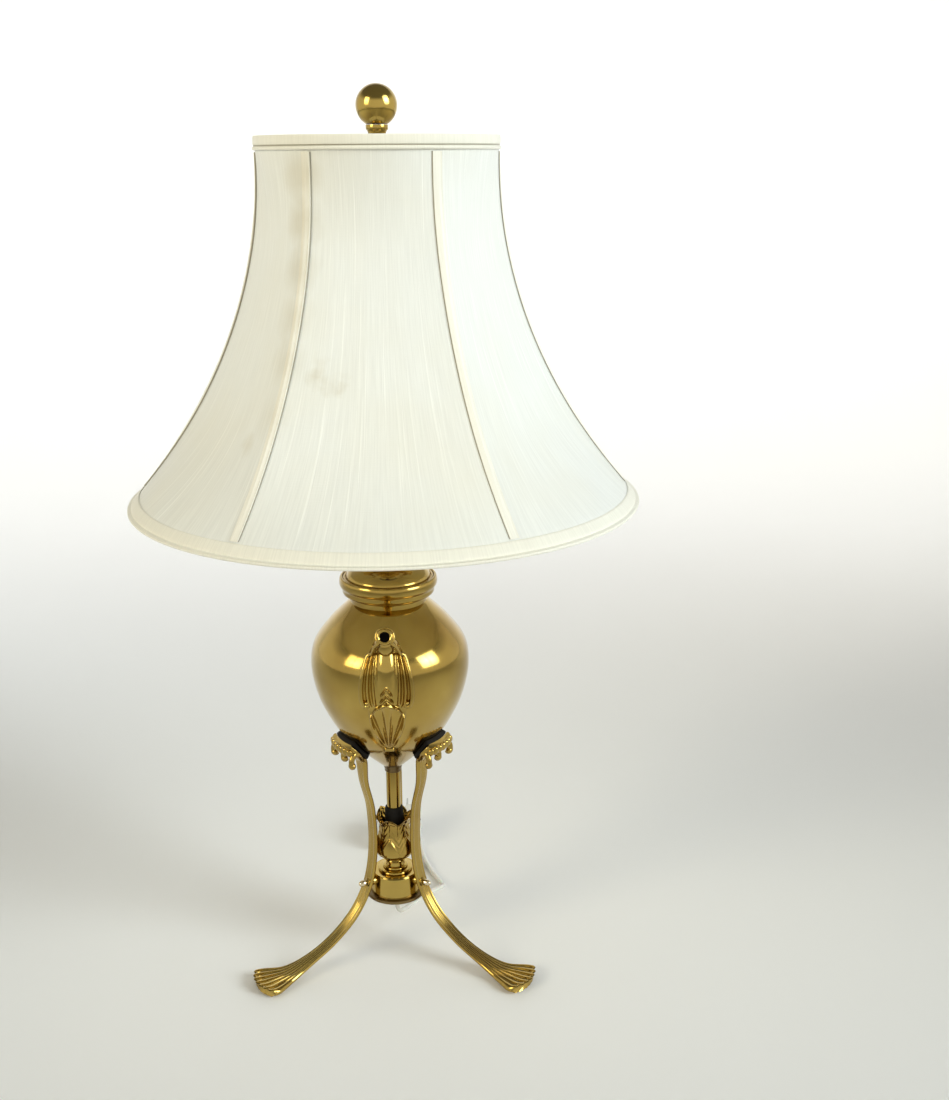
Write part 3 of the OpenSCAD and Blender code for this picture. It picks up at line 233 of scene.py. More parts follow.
def about_z(degrees):
    c, s = math.cos(math.radians(degrees)), math.sin(math.radians(degrees))
    return np.array([[c, -s, 0], [s, c, 0], [0, 0, 1]])


# The kettle's outline, shared by the pieces that lie on it
KETTLE = through([[0.13 * KETTLE_R, KETTLE_Z], [0.33 * KETTLE_R, KETTLE_Z + 0.08 * KETTLE_H],
                  [0.625 * KETTLE_R, KETTLE_Z + 0.213 * KETTLE_H],
                  [0.815 * KETTLE_R, KETTLE_Z + 0.347 * KETTLE_H],
                  [0.94 * KETTLE_R, KETTLE_Z + 0.48 * KETTLE_H],
                  [KETTLE_R, KETTLE_Z + 0.627 * KETTLE_H],
                  [0.957 * KETTLE_R, KETTLE_Z + 0.76 * KETTLE_H],
                  [0.765 * KETTLE_R, KETTLE_Z + 0.88 * KETTLE_H],
                  [NECK_R + 6, NECK_Z - 5], [NECK_R, NECK_Z]], 14)


def off_kettle(z, off):
    """Radius and height of points that lie off millimetres outside the kettle's side."""
    z = np.asarray(z, float)
    at = lambda h: np.interp(h, KETTLE[:, 1], KETTLE[:, 0])
    out = unit(np.stack([0 * z + 2, at(z - 1) - at(z + 1)], -1))
    return np.stack([at(z), z], -1) + np.asarray(off, float)[..., None] * out


# Materials

class Finish:
    """A material's shader with short ways to add and join nodes."""

    def __init__(self, name, **sockets):
        self.material = bpy.data.materials.new(name)
        self.material.use_nodes = True
        self.tree = self.material.node_tree
        self.shader = self.tree.nodes["Principled BSDF"]
        self.where = self.tree.nodes.new("ShaderNodeTexCoord")
        for socket, value in sockets.items():
            self.to(self.shader.inputs[socket.replace("_", " ")], value)

    def to(self, socket, value):
        if isinstance(value, bpy.types.NodeSocket):
            self.tree.links.new(value, socket)
        else:
            socket.default_value = value

    def node(self, kind, inputs, **settings):
        made = self.tree.nodes.new(kind)
        for key, value in settings.items():
            setattr(made, key, value)
        for key, value in inputs.items():
            self.to(made.inputs[key], value)
        return made

    def coords(self, stretch=(1, 1, 1), cloth=False):
        source = self.where.outputs["UV" if cloth else "Object"]
        return self.node("ShaderNodeMapping", {"Vector": source, "Scale": stretch}).outputs[0]

    def noise(self, scale, detail=3, stretch=(1, 1, 1), cloth=False, rough=0.5):
        return self.node("ShaderNodeTexNoise", {
            "Vector": self.coords(stretch, cloth), "Scale": scale, "Detail": detail,
            "Roughness": rough}).outputs[0]

    def ramp(self, value, *stops):
        made = self.node("ShaderNodeValToRGB", {"Fac": value})
        points = made.color_ramp.elements
        while len(points) < len(stops):
            points.new(0.5)
        for point, (at, colour) in zip(points, stops):
            point.position = at
            point.color = (colour, colour, colour, 1) if np.isscalar(colour) else (*colour[:3], 1)
        return made.outputs[0]

    def mix(self, share, first, second):
        made = self.node("ShaderNodeMix", {0: share}, data_type="RGBA")
        self.to(made.inputs[6], first)
        self.to(made.inputs[7], second)
        return made.outputs[2]

    def maths(self, kind, first, second=0.0):
        return self.node("ShaderNodeMath", {0: first, 1: second}, operation=kind).outputs[0]

    def bump(self, height, strength, distance, under=None):
        inputs = {"Height": height, "Strength": strength, "Distance": distance}
        if under is not None:
            inputs["Normal"] = under
        return self.node("ShaderNodeBump", inputs).outputs[0]

    def spot(self, centre, radius, soft, ragged=0.0, scale=60):
        """1 inside a ball about centre, fading to 0 over soft, with a ragged edge."""
        here = self.where.outputs["Object"]
        far = self.node("ShaderNodeVectorMath", {0: here, 1: [c * MM for c in centre]},
                        operation="DISTANCE").outputs["Value"]
        wander = self.maths("MULTIPLY", self.maths("SUBTRACT", self.noise(scale, 4), 0.5), ragged * MM)
        span = self.node("ShaderNodeMapRange", {
            "Value": self.maths("ADD", far, wander), "From Min": radius * MM,
            "From Max": (radius + soft) * MM, "To Min": 1.0, "To Max": 0.0})
        return span.outputs[0]

    def use(self, socket, value):
        self.to(self.shader.inputs[socket], value)
        return self


def brass(name, colour, dark, rough):
    """Polished brass under old lacquer: broad clouds of darker tone, fine cloudy patches in
    the gloss, hairline scratches and a very slight unevenness of the hand-polished surface."""
    f = Finish(name, Metallic=1.0, Coat_Weight=0.25, Coat_Roughness=0.06)
    clouds = f.noise(18, 3)
    f.use("Base Color", f.mix(f.ramp(clouds, (0.35, 0.0), (0.75, 1.0)), (*colour, 1), (*dark, 1)))
    patches = f.noise(70, 4)
    hairs = f.noise(900, 2, (1, 1, 0.08))
    gloss = f.maths("ADD", f.maths("MULTIPLY", patches, rough * 0.9),
                    f.maths("MULTIPLY", hairs, rough * 0.5))
    f.use("Roughness", f.maths("ADD", gloss, rough * 0.3))
    f.use("Normal", f.bump(f.noise(28, 2), 0.06, 0.001, f.bump(hairs, 0.02, 0.0004)))
    return f.material


def plain_metal(name, colour, rough):
    """Zinc or nickel plate: fine cloudy gloss and a brushed grain along the height."""
    f = Finish(name, Metallic=1.0)
    grain = f.noise(500, 3, (1, 1, 0.06))
    f.use("Base Color", f.mix(grain, (*colour, 1), (*(0.72 * c for c in colour), 1)))
    f.use("Roughness", f.maths("ADD", f.maths("MULTIPLY", grain, 0.25), rough))
    f.use("Normal", f.bump(grain, 0.08, 0.0003))
    return f.material


def rubber(name, colour, rough=0.55):
    """Black rubber or leather: a fine pebbled grain with dull and shinier patches."""
    f = Finish(name, Specular_IOR_Level=0.25)
    pebbles = f.noise(1100, 3)
    f.use("Base Color", f.mix(f.noise(60, 3), (*colour, 1), (*(2.2 * c for c in colour), 1)))
    f.use("Roughness", f.maths("ADD", f.maths("MULTIPLY", f.noise(200, 2), 0.25), rough - 0.12))
    f.use("Normal", f.bump(pebbles, 0.25, 0.0004))
    return f.material


def felt(name, colour):
    f = Finish(name, Roughness=0.95, Sheen_Weight=0.5)
    fuzz = f.noise(1500, 4)
    f.use("Base Color", f.mix(fuzz, (*colour, 1), (*(0.55 * c for c in colour), 1)))
    f.use("Normal", f.bump(fuzz, 0.7, 0.0006))
    return f.material


def moulded(name, colour, rough=0.32):
    """Moulded plastic: slight mottling and the faint texture of its mould."""
    f = Finish(name)
    f.use("Base Color", f.mix(f.noise(120, 3), (*colour, 1), (*(min(1, 1.25 * c) for c in colour), 1)))
    f.use("Roughness", f.maths("ADD", f.maths("MULTIPLY", f.noise(400, 2), 0.15), rough - 0.07))
    f.use("Normal", f.bump(f.noise(700, 2), 0.06, 0.0003))
    return f.material


def silk(name, colour, aged, stain_and_shade, spots=False, slub=1.0, crease_shade=None):
    """Slubbed silk on the panel's own cloth coordinates, u across and v along the thread:
    an even weave, long thin slubs that run down the panel, and broad ageing. spots adds the
    brown stains along the left front seam and the faint marks on the panels. The crease argument
    adds a painted shade line, in the brown of the stains darkened, along the tapes' edges and in the
    ditch above each trim's cord, as the tables of shade lines give it."""
    f = Finish(name, Roughness=0.62, Sheen_Weight=0.35, Sheen_Roughness=0.4, Specular_IOR_Level=0.35)
    across, down = (1400, 60, 1), (60, 1600, 1)
    warp, weft = f.noise(1, 2, across, True), f.noise(1, 2, down, True)
    slubs = f.ramp(f.noise(1, 4, (420, 5, 1), True, 0.6), (0.58, 0.0), (0.68, 1.0))
    grey = (*(0.93 * c for c in colour), 1)
    tone = f.mix(f.ramp(f.noise(1, 3, (900, 25, 1), True), (0.35, 0.0), (0.65, 1.0)), grey, (*colour, 1))
    tone = f.mix(f.maths("MULTIPLY", slubs, 0.7 * slub), tone, (*(min(1, 1.15 * c) for c in colour), 1))
    tone = f.mix(f.ramp(f.noise(7, 4), (0.45, 0.0), (0.8, 0.45)), tone, (*aged, 1))
    if spots:
        seam = np.array([-0.5, -0.866])
        for z, r, wide, much in SEAM_STAINS:
            at = (*(seam * r + np.array([-6, 3])), z)
            mark = f.maths("MULTIPLY", f.spot(at, wide, 17, 14, 60), much)
            tone = f.mix(mark, tone, (*stain_and_shade, 1))
        for at, r, much in PANEL_STAINS:
            tone = f.mix(f.maths("MULTIPLY", f.spot(at, r, 9, 16, 110), much), tone, (*stain_and_shade, 1))
    if crease_shade:
        # u is folded to and fro, so that every tape has its painted shade line at both edges
        axis, at, wide, much = crease_shade
        place = f.node("ShaderNodeSeparateXYZ", {0: f.where.outputs["UV"]}).outputs[axis]
        if axis == 0:
            place = f.maths("PINGPONG", place, 20 * MM)
        far = f.maths("ABSOLUTE", f.maths("SUBTRACT", place, at * MM))
        line = f.node("ShaderNodeMapRange", {
            "Value": far, "From Min": wide * MM * 0.4, "From Max": wide * MM, "To Min": much,
            "To Max": 0.0}).outputs[0]
        # The line is painted shade: the brown of the stains, darkened, where the tape's edges and the
        # trim's cord shade the cloth
        tone = f.mix(line, tone, (*(0.35 * c for c in stain_and_shade), 1))
    f.use("Base Color", tone)
    threads = f.maths("ADD", warp, weft)
    f.use("Normal", f.bump(slubs, 0.35 * slub, 0.0003, f.bump(threads, 0.25, 0.00025)))
    return f.material


def lining_cloth(name, colour):
    """Smooth white lining with a fine even weave."""
    f = Finish(name, Roughness=0.7, Sheen_Weight=0.2)
    weave = f.maths("ADD", f.noise(1, 2, (1500, 200, 1), True), f.noise(1, 2, (200, 1500, 1), True))
    f.use("Base Color", f.mix(f.noise(10, 3), (*colour, 1), (*(0.93 * c for c in colour), 1)))
    f.use("Normal", f.bump(weave, 0.2, 0.0002))
    return f.material


def frosted(name, colour):
    """White coated bulb glass with a faint cloudiness."""
    f = Finish(name, Roughness=0.3, Subsurface_Weight=0.2, Coat_Weight=0.4)
    f.use("Base Color", f.mix(f.noise(60, 2), (*colour, 1), (*(0.95 * c for c in colour), 1)))
    return f.material


def vinyl(name, colour):
    """Pale clear vinyl of a flex, with the wires showing faintly and slight waves."""
    f = Finish(name, Roughness=0.28, Coat_Weight=0.3, Subsurface_Weight=0.15)
    f.use("Base Color", f.mix(f.noise(90, 3), (*colour, 1), (*(0.86 * c for c in colour), 1)))
    f.use("Normal", f.bump(f.noise(260, 2), 0.1, 0.0004))
    return f.material


LOOKS = {}


def look(key):
    """The shared material named key, made once from the user's colours."""
    if key not in LOOKS:
        c = bpy.context.scene.kettle_lamp_colours
        makers = {
            "brass": lambda: brass("polished_brass", c.brass, c.brass_dark, 0.13),
            "lamp brass": lambda: brass("lamp_brass", c.lamp_brass, c.brass, 0.2),
            # A darker copy of the brass: painted shade on the tube's collar and the burner's plate
            "shaded dark brass": lambda: brass("aged_brass", c.aged_brass, (0.08, 0.05, 0.02), 0.3),
            "pale brass": lambda: brass("worn_pale_brass", c.pale_brass, c.brass, 0.14),
            "zinc": lambda: plain_metal("zinc_steel", c.steel, 0.25),
            "rubber": lambda: rubber("black_rubber", c.rubber, 0.8),
            # A near black finish that paints the shade inside the spout's bore
            "bore_shade": lambda: rubber("painted_bore_shade", (0.004, 0.003, 0.002), 0.9),
            "felt": lambda: felt("brown_felt", c.felt),
            "phenolic": lambda: moulded("black_phenolic", c.rubber, 0.25),
            "card": lambda: felt("pressed_card", c.card),
            "silk": lambda: silk("cream_silk", c.silk, c.silk_aged, c.stain_and_shade, spots=True),
            "tape": lambda: silk("cream_seam_tape", c.tape, c.silk_aged, c.stain_and_shade, True, 0.4, TAPE_SHADE_LINE),
            "trim": lambda: silk("cream_trim", c.trim, c.silk_aged, c.stain_and_shade, False, 0.3, TRIM_SHADE_LINE),
            "lining": lambda: lining_cloth("white_lining", c.lining),
            "bulb": lambda: frosted("frosted_glass", c.glass),
            "vinyl": lambda: vinyl("pale_vinyl", c.cord),
        }
        LOOKS[key] = makers[key]()
    return LOOKS[key]


# Sizes and colours that a user may change

def length(name, text, default, most=0.05):
    return bpy.props.FloatProperty(name=name, description=text, default=default, min=0.0,
                                   max=most, unit="LENGTH")


def colour(name, text, default):
    return bpy.props.FloatVectorProperty(name=name, description=text, default=default, size=3,
                                         min=0.0, max=1.0, subtype="COLOR")


class KettleLampSizes(bpy.types.PropertyGroup):
    """Depths of the lamp's relief and thicknesses of its cloth."""
    ridge: length("Foot ridges", "Depth of the ridges on a foot", 0.0016)
    leaf: length("Leaf relief", "Height of the veins on the spout's leaf", 0.0011)
    silk_t: length("Silk", "Thickness of the silk cover", 0.0005)
    tape_t: length("Seam tape", "Thickness of the tape over a seam", 0.0007)
    cord_d: length("Cord", "Diameter of the cord", 0.004)


class KettleLampColours(bpy.types.PropertyGroup):
    """Colours of the lamp's finishes."""
    brass: colour("Brass", "Polished brass where it is bright", (0.50, 0.35, 0.085))
    brass_dark: colour("Dark clouds", "Polished brass where it has darkened", (0.34, 0.21, 0.04))
    lamp_brass: colour("Lamp brass", "Plated lamp hardware", (0.75, 0.58, 0.28))
    # A darker copy of the brass that paints the shade on the tube's collar and the burner's plate
    aged_brass: colour("Aged brass", "Brass that was never polished", (0.22, 0.15, 0.06))
    pale_brass: colour("Pale brass", "Brass worn to a silvery tone", (0.80, 0.73, 0.58))
    steel: colour("Steel", "Zinc plated steel", (0.62, 0.62, 0.60))
    rubber: colour("Rubber", "Black pads and bushes", (0.006, 0.005, 0.004))
    felt: colour("Felt", "Pads under the feet", (0.07, 0.04, 0.02))
    card: colour("Card", "Insulating liner of the socket", (0.35, 0.27, 0.16))
    silk: colour("Silk", "Silk of the shade", (0.82, 0.83, 0.79))
    tape: colour("Tape", "Tape over the seams", (0.90, 0.88, 0.79))
    silk_aged: colour("Aged silk", "Silk where it has yellowed", (0.76, 0.72, 0.58))
    # Its brown, darkened, also paints the shade lines along the tapes' edges and above the trims' cords
    stain_and_shade: colour("Stain", "Brown stains on the silk", (0.45, 0.37, 0.19))
    trim: colour("Trim", "Bound edges of the shade", (0.86, 0.84, 0.74))
    lining: colour("Lining", "Lining of the shade", (0.93, 0.91, 0.85))
    glass: colour("Bulb", "Coated glass of the bulb", (0.88, 0.87, 0.84))
    cord: colour("Cord", "Vinyl of the cord and plug", (0.74, 0.72, 0.66))


class Maker:
    """Base of the operators that make a group of pieces."""
    bl_options = {"REGISTER", "UNDO"}

    def execute(self, context):
        self.build(context.scene.kettle_lamp_sizes)
        return {"FINISHED"}


# The view, the light and the floor

class KETTLELAMP_OT_stage(Maker, bpy.types.Operator):
    """Sets the camera of the photograph, soft studio light and a pale floor"""
    bl_idname = "kettle_lamp.stage"
    bl_label = "Stage"

    def build(self, sizes):
        scene = bpy.context.scene
        camera = bpy.data.objects.new("camera", bpy.data.cameras.new("camera"))
        scene.collection.objects.link(camera)
        scene.camera = camera
        forward = unit(np.array(CAMERA_FORWARD))
        right = unit(np.cross(forward, [0, 0, 1]))
        up = np.cross(right, forward)
        cos, sin = math.cos(math.radians(CAMERA_ROLL)), math.sin(math.radians(CAMERA_ROLL))
        right, up = right * cos + up * sin, up * cos - right * sin
        matrix = np.eye(4)
        matrix[:3, 0], matrix[:3, 1], matrix[:3, 2] = right, up, -forward
        matrix[:3, 3] = CAMERA_AT
        camera.matrix_world = matrix.T.tolist()
        camera.data.lens, camera.data.sensor_width = LENS, SENSOR
        camera.data.clip_start, camera.data.clip_end = 0.05, 30

        # The floor turns up behind the lamp in a quarter circle, and then stands upright
        flat_end, bend_r = 1.4, 1.2
        bend = np.linspace(0, math.pi / 2, 16)
        depth = np.concatenate([np.linspace(-3, flat_end, 12), flat_end + bend_r * np.sin(bend),
                                np.full(4, flat_end + bend_r)])
        height = np.concatenate([np.zeros(12), bend_r - bend_r * np.cos(bend), np.linspace(1.5, 3.2, 4)])
        side = np.linspace(-3, 3, 13)
        grid = np.stack([side[None] + 0 * depth[:, None], depth[:, None] + 0 * side[None],
                         height[:, None] + 0 * side[None]], -1)
        mesh = bpy.data.meshes.new("floor")
        faces = grid_faces(*grid.shape[:2], False, False)
        mesh.from_pydata(grid.reshape(-1, 3).tolist(), [], faces.tolist())
        mesh.polygons.foreach_set("use_smooth", np.ones(len(mesh.polygons), bool))
        floor = bpy.data.objects.new("floor", mesh)
        scene.collection.objects.link(floor)
        paper = Finish("floor_paper", Roughness=0.9, Specular_IOR_Level=0.1)
        paper.use("Base Color", paper.mix(paper.noise(3, 2), (0.93, 0.93, 0.92, 1),
                                          (0.91, 0.91, 0.90, 1)))
        mesh.materials.append(paper.material)

        # The room: pale up to about 22 degrees over the horizon, fading from there to a dim
        # ceiling at about 38 degrees
        world = bpy.data.worlds.new("studio")
        world.use_nodes = True
        tree = world.node_tree
        where = tree.nodes.new("ShaderNodeTexCoord")
        parts = tree.nodes.new("ShaderNodeSeparateXYZ")
        walls = tree.nodes.new("ShaderNodeValToRGB")
        tree.links.new(where.outputs["Generated"], parts.inputs[0])
        tree.links.new(parts.outputs[2], walls.inputs[0])
        tree.links.new(walls.outputs[0], tree.nodes["Background"].inputs[0])
        stops = ((0.0, (0.88, 0.87, 0.80)), (0.38, (0.88, 0.87, 0.80)), (0.62, (0.20, 0.20, 0.18)))
        points = walls.color_ramp.elements
        points.new(0.5)
        for point, (at, tone) in zip(points, stops):
            point.position, point.color = at, (*tone, 1)
        scene.world = world
        scene.view_settings.view_transform = "Standard"
        # Grids on the soft boxes keep their light off the floor in front of the lamp, so that the
        # brass has something dark to reflect. The two at the sides stand in panes, as windows do
        for name, at, aim, size, panes, power, grid, tint in (
                ("key_light", (1.5, -0.75, 1.3), (0, 0, 0.55), (1.0, 1.7), 2, 4.4, 48, (0.90, 0.98, 1.0)),
                ("fill_light", (-1.3, -0.95, 1.2), (0, 0, 0.55), (0.8, 1.2), 2, 1.6, 48,
                 (1.0, 0.92, 0.68)),
                ("top_light", (0.0, 2.0, 2.7), (0, 2.0, 0), (7.0, 2.9), 1, 140, 44, (1.0, 1.0, 1.0)),
                ("floor_light", (0.0, 0.9, 2.5), (0, 2.4, 0.4), (4.4, 0.9), 1, 26, 100, (1.0, 1.0, 1.0))):
            out = unit(np.array(at) - np.array(aim))
            across = unit(np.cross([0, 0, 1], out))
            for pane in range(panes):
                lamp = bpy.data.lights.new(name, "AREA")
                lamp.shape, lamp.size_y = "RECTANGLE", size[1]
                lamp.size = size[0] / panes * (1 - BAR_SHARE * (panes - 1))
                lamp.energy, lamp.color, lamp.spread = power / panes, tint, math.radians(grid)
                light = bpy.data.objects.new(name, lamp)
                scene.collection.objects.link(light)
                m = np.eye(4)
                m[:3, 0], m[:3, 1], m[:3, 2] = across, np.cross(out, across), out
                m[:3, 3] = at + across * size[0] * ((pane + 0.5) / panes - 0.5)
                light.matrix_world = m.T.tolist()


# The cord

CORD_D = 4
CORD_EXIT = 47.4
CORD_POINTS = [
    [0, 0, 43], [1, 2, 35.5], [3.4, 7.2, 29.5], [7.4, 14.8, 27], [12.4, 22.6, 26], [18, 31.5, 25],
    [24, 41, 23.5], [29.5, 51, 21.5], [34.5, 61, 18.5], [38.5, 71, 14.5], [40.5, 80.5, 10],
    [40.5, 90, 5.5], [38.5, 99.5, 2.8], [35, 108.5, 2.2], [31, 117.5, 2.2], [27.5, 127, 2.2],
    [24.5, 136.5, 2.2], [22, 146, 2.2], [19.6, 156, 2.2], [17.8, 166, 2.2], [17, 176, 2.2]]
COIL_X, COIL_Y, COIL_Z = -9, 186, 2.2
COIL_MID, COIL_PITCH, COIL_LAYERS, LAYER_TURNS = 20.3, 4.95, 4, 2.375
CROSS_R, PLUG_RISE = 18, 4.4


def cord_path():
    """The whole line of the cord in millimetres: the smooth run from the bush to the coil, and
    the coil, whose radius goes in and out layer by layer while it turns and whose height rises
    by one pitch in the half turn between two layers, and last the bend across it to the plug."""
    outer = COIL_MID + COIL_PITCH * LAYER_TURNS / 2
    inner = COIL_MID - COIL_PITCH * LAYER_TURNS / 2
    start = np.array([COIL_X + outer, COIL_Y, COIL_Z])
    run = through([[0, 0, CORD_EXIT], *CORD_POINTS, start - [0, CORD_D, 0], start], 3)
    stage_turns = LAYER_TURNS + 0.5
    turn = np.arange(1, int(48 * COIL_LAYERS * stage_turns) + 1) / 48
    stage = np.minimum(np.floor(turn / stage_turns - 1e-9), COIL_LAYERS - 1)
    t = turn - stage * stage_turns
    share = np.minimum(t, LAYER_TURNS) / LAYER_TURNS
    share = np.where(stage % 2 == 0, 1 - share, share)
    r = inner + (outer - inner) * share
    rise = COIL_PITCH * (stage + 2 * np.maximum(0, t - LAYER_TURNS))
    a = 2 * np.pi * turn
    coil = np.stack([COIL_X + r * np.cos(a), COIL_Y + r * np.sin(a), COIL_Z + rise], -1)
    top = COIL_Z + COIL_PITCH * COIL_LAYERS
    a = np.radians(np.arange(187.5, 270.1, 7.5))
    last = np.stack([COIL_X + outer * np.cos(a), COIL_Y + outer * np.sin(a), top + 0 * a], -1)
    a = np.radians(np.arange(7.5, 90.1, 7.5))
    plug_y = COIL_Y - outer + CROSS_R + CORD_D
    bend = np.stack([COIL_X + CROSS_R * np.sin(a), plug_y - CORD_D - CROSS_R * np.cos(a),
                     top + PLUG_RISE * (1 - np.cos(2 * a)) / 2], -1)
    end = np.array([[COIL_X + CROSS_R, plug_y, top + PLUG_RISE]])
    return np.concatenate([run, coil, last, bend, end])


class KETTLELAMP_OT_cord(Maker, bpy.types.Operator):
    """Makes the flex with its coil behind the feet and its tie, up to the plug"""
    bl_idname = "kettle_lamp.cord"
    bl_label = "Cord"

    def build(self, sizes):
        path = cord_path()
        along = unit(np.gradient(path, axis=0))
        steep = np.abs(along[:, 2:])
        ref = unit(np.array([1.0, 0, 0]) * steep + np.array([0, 0, 1.0]) * (1 - steep))
        side = unit(np.cross(along, ref))
        other = np.cross(side, along)
        # The flex is two cores side by side: the radius dips in a shallow groove at top and bottom
        a = np.arange(16) * 2 * np.pi / 16
        r = 1000 * sizes.cord_d / 2 * (1 - 0.1 * np.abs(np.sin(a)) ** 6)
        grid = path[:, None] + (r * np.cos(a))[None, :, None] * side[:, None] \
            + (r * np.sin(a))[None, :, None] * other[:, None]
        cord = Shell("cord").add(grid).make("root", "clear_cord", look("vinyl"),
                                            ["cord_run", "cord_coil"])
        # A twist of thin strap goes round all the turns of the ring on its left side
        half_w, low, high = 9.6, 0.05, COIL_Z + 4 * COIL_PITCH + 2.9
        centre = np.array([COIL_X + COIL_MID * math.cos(0.6), COIL_Y + COIL_MID * math.sin(0.6)])
        away = np.array([math.cos(0.6), math.sin(0.6)])
        along_tie = np.array([-away[1], away[0]])
        t = np.arange(40) * 2 * np.pi / 40
        u = np.sign(np.cos(t)) * np.abs(np.cos(t)) ** 0.45 * half_w
        v = (low + high) / 2 + np.sign(np.sin(t)) * np.abs(np.sin(t)) ** 0.45 * (high - low) / 2
        rows = []
        for offset, inset in ((-2.5, 0.0), (2.5, 0.0), (2.5, 0.5), (-2.5, 0.5)):
            shrink = 1 - inset / half_w
            plan = centre + np.outer(u * shrink, away) + offset * along_tie
            tall = (v - (low + high) / 2) * shrink + (low + high) / 2
            rows.append(np.concatenate([plan, tall[:, None]], 1))
        tie = Shell("cord_tie").add(np.array(rows), wrap_rows=True)
        tie = tie.make("root", "black_plastic", look("phenolic"))


# Turned brass

class KETTLELAMP_OT_kettle(Maker, bpy.types.Operator):
    """Makes the kettle's body with its lip, the lid and the spacer above it"""
    bl_idname = "kettle_lamp.kettle"
    bl_label = "Kettle"

    def build(self, sizes):
        lip_z = NECK_Z + LIP_H
        neck = [[NECK_R, NECK_Z + 0.16 * LIP_H], [NECK_R + 0.6, NECK_Z + 0.24 * LIP_H],
                [NECK_R + 3.2, NECK_Z + 0.3 * LIP_H], [LIP_R - 3.2, NECK_Z + 0.33 * LIP_H],
                [LIP_R - 2.5, NECK_Z + 0.4 * LIP_H], [LIP_R - 2.5, NECK_Z + 0.52 * LIP_H],
                [LIP_R - 1.9, NECK_Z + 0.58 * LIP_H], [LIP_R - 0.7, NECK_Z + 0.64 * LIP_H],
                [LIP_R - 0.1, NECK_Z + 0.72 * LIP_H], [LIP_R, NECK_Z + 0.8 * LIP_H],
                [LIP_R - 0.2, NECK_Z + 0.9 * LIP_H], [LIP_R - 0.8, lip_z - 0.4], [LIP_R - 1.4, lip_z],
                [LIP_R - 2.9, lip_z], [LIP_R - 2.9, lip_z - 2.4], [NECK_R - KETTLE_WALL, lip_z - 2.4],
                [NECK_R - KETTLE_WALL, NECK_Z]]
        t = unit(np.gradient(KETTLE, axis=0))
        inner = (KETTLE + KETTLE_WALL * np.stack([-t[:, 1], t[:, 0]], 1))[-6:0:-1]
        base = [[PIPE_BORE, KETTLE_Z + KETTLE_WALL], [PIPE_BORE, KETTLE_Z]]
        outline = np.concatenate([KETTLE, softened(neck, 0.5)[1:-1],
                                  inner[inner[:, 1] > KETTLE_Z + 2], base])
        Shell("kettle").turned(outline, 160).make("root", "polished_brass", look("brass"),
                                                  ["kettle_body"], 50)

        lid_r, seat, t = LIP_R - 3.2, lip_z - 2.4, 1.2
        dome = lid_r - 2.4
        a = np.radians(np.arange(0, 91, 5))
        outer = np.stack([9 + (dome - 9) * np.sin(a), seat + t + (LID_TOP - seat - t) * np.cos(a)], 1)
        under = np.stack([9 + (dome - 9 - t) * np.sin(a),
                          seat + (LID_TOP - seat - t) * np.cos(a)], 1)[::-1]
        rim = [[lid_r - 2.2, seat + t], [lid_r - 1.6, seat + 2], [lid_r - 0.3, seat + 2],
               [lid_r, seat + 1.6], [lid_r, seat]]
        lid = np.concatenate([[[PIPE_BORE, LID_TOP]], outer, rim, under, [[PIPE_BORE, LID_TOP - t]]])
        Shell("kettle_lid_dome").turned(lid, 128).make("root", "polished_brass", look("brass"),
                                                       ["kettle_lid"])

        spacer = through([[10, LID_TOP], [10.4, LID_TOP + 1.4], [8, LID_TOP + 3.2], [6.6, LID_TOP + 6],
                          [6.6, SADDLE_Z - 6], [8, SADDLE_Z - 3.2], [9.6, SADDLE_Z - 1.4],
                          [9.4, SADDLE_Z]], 5)
        spacer = np.concatenate([spacer, [[PIPE_BORE, SADDLE_Z], [PIPE_BORE, LID_TOP]]])
        Shell("neck_turning").turned(spacer, 64).make("root", "polished_brass", look("brass"),
                                                      ["neck_spacer"])


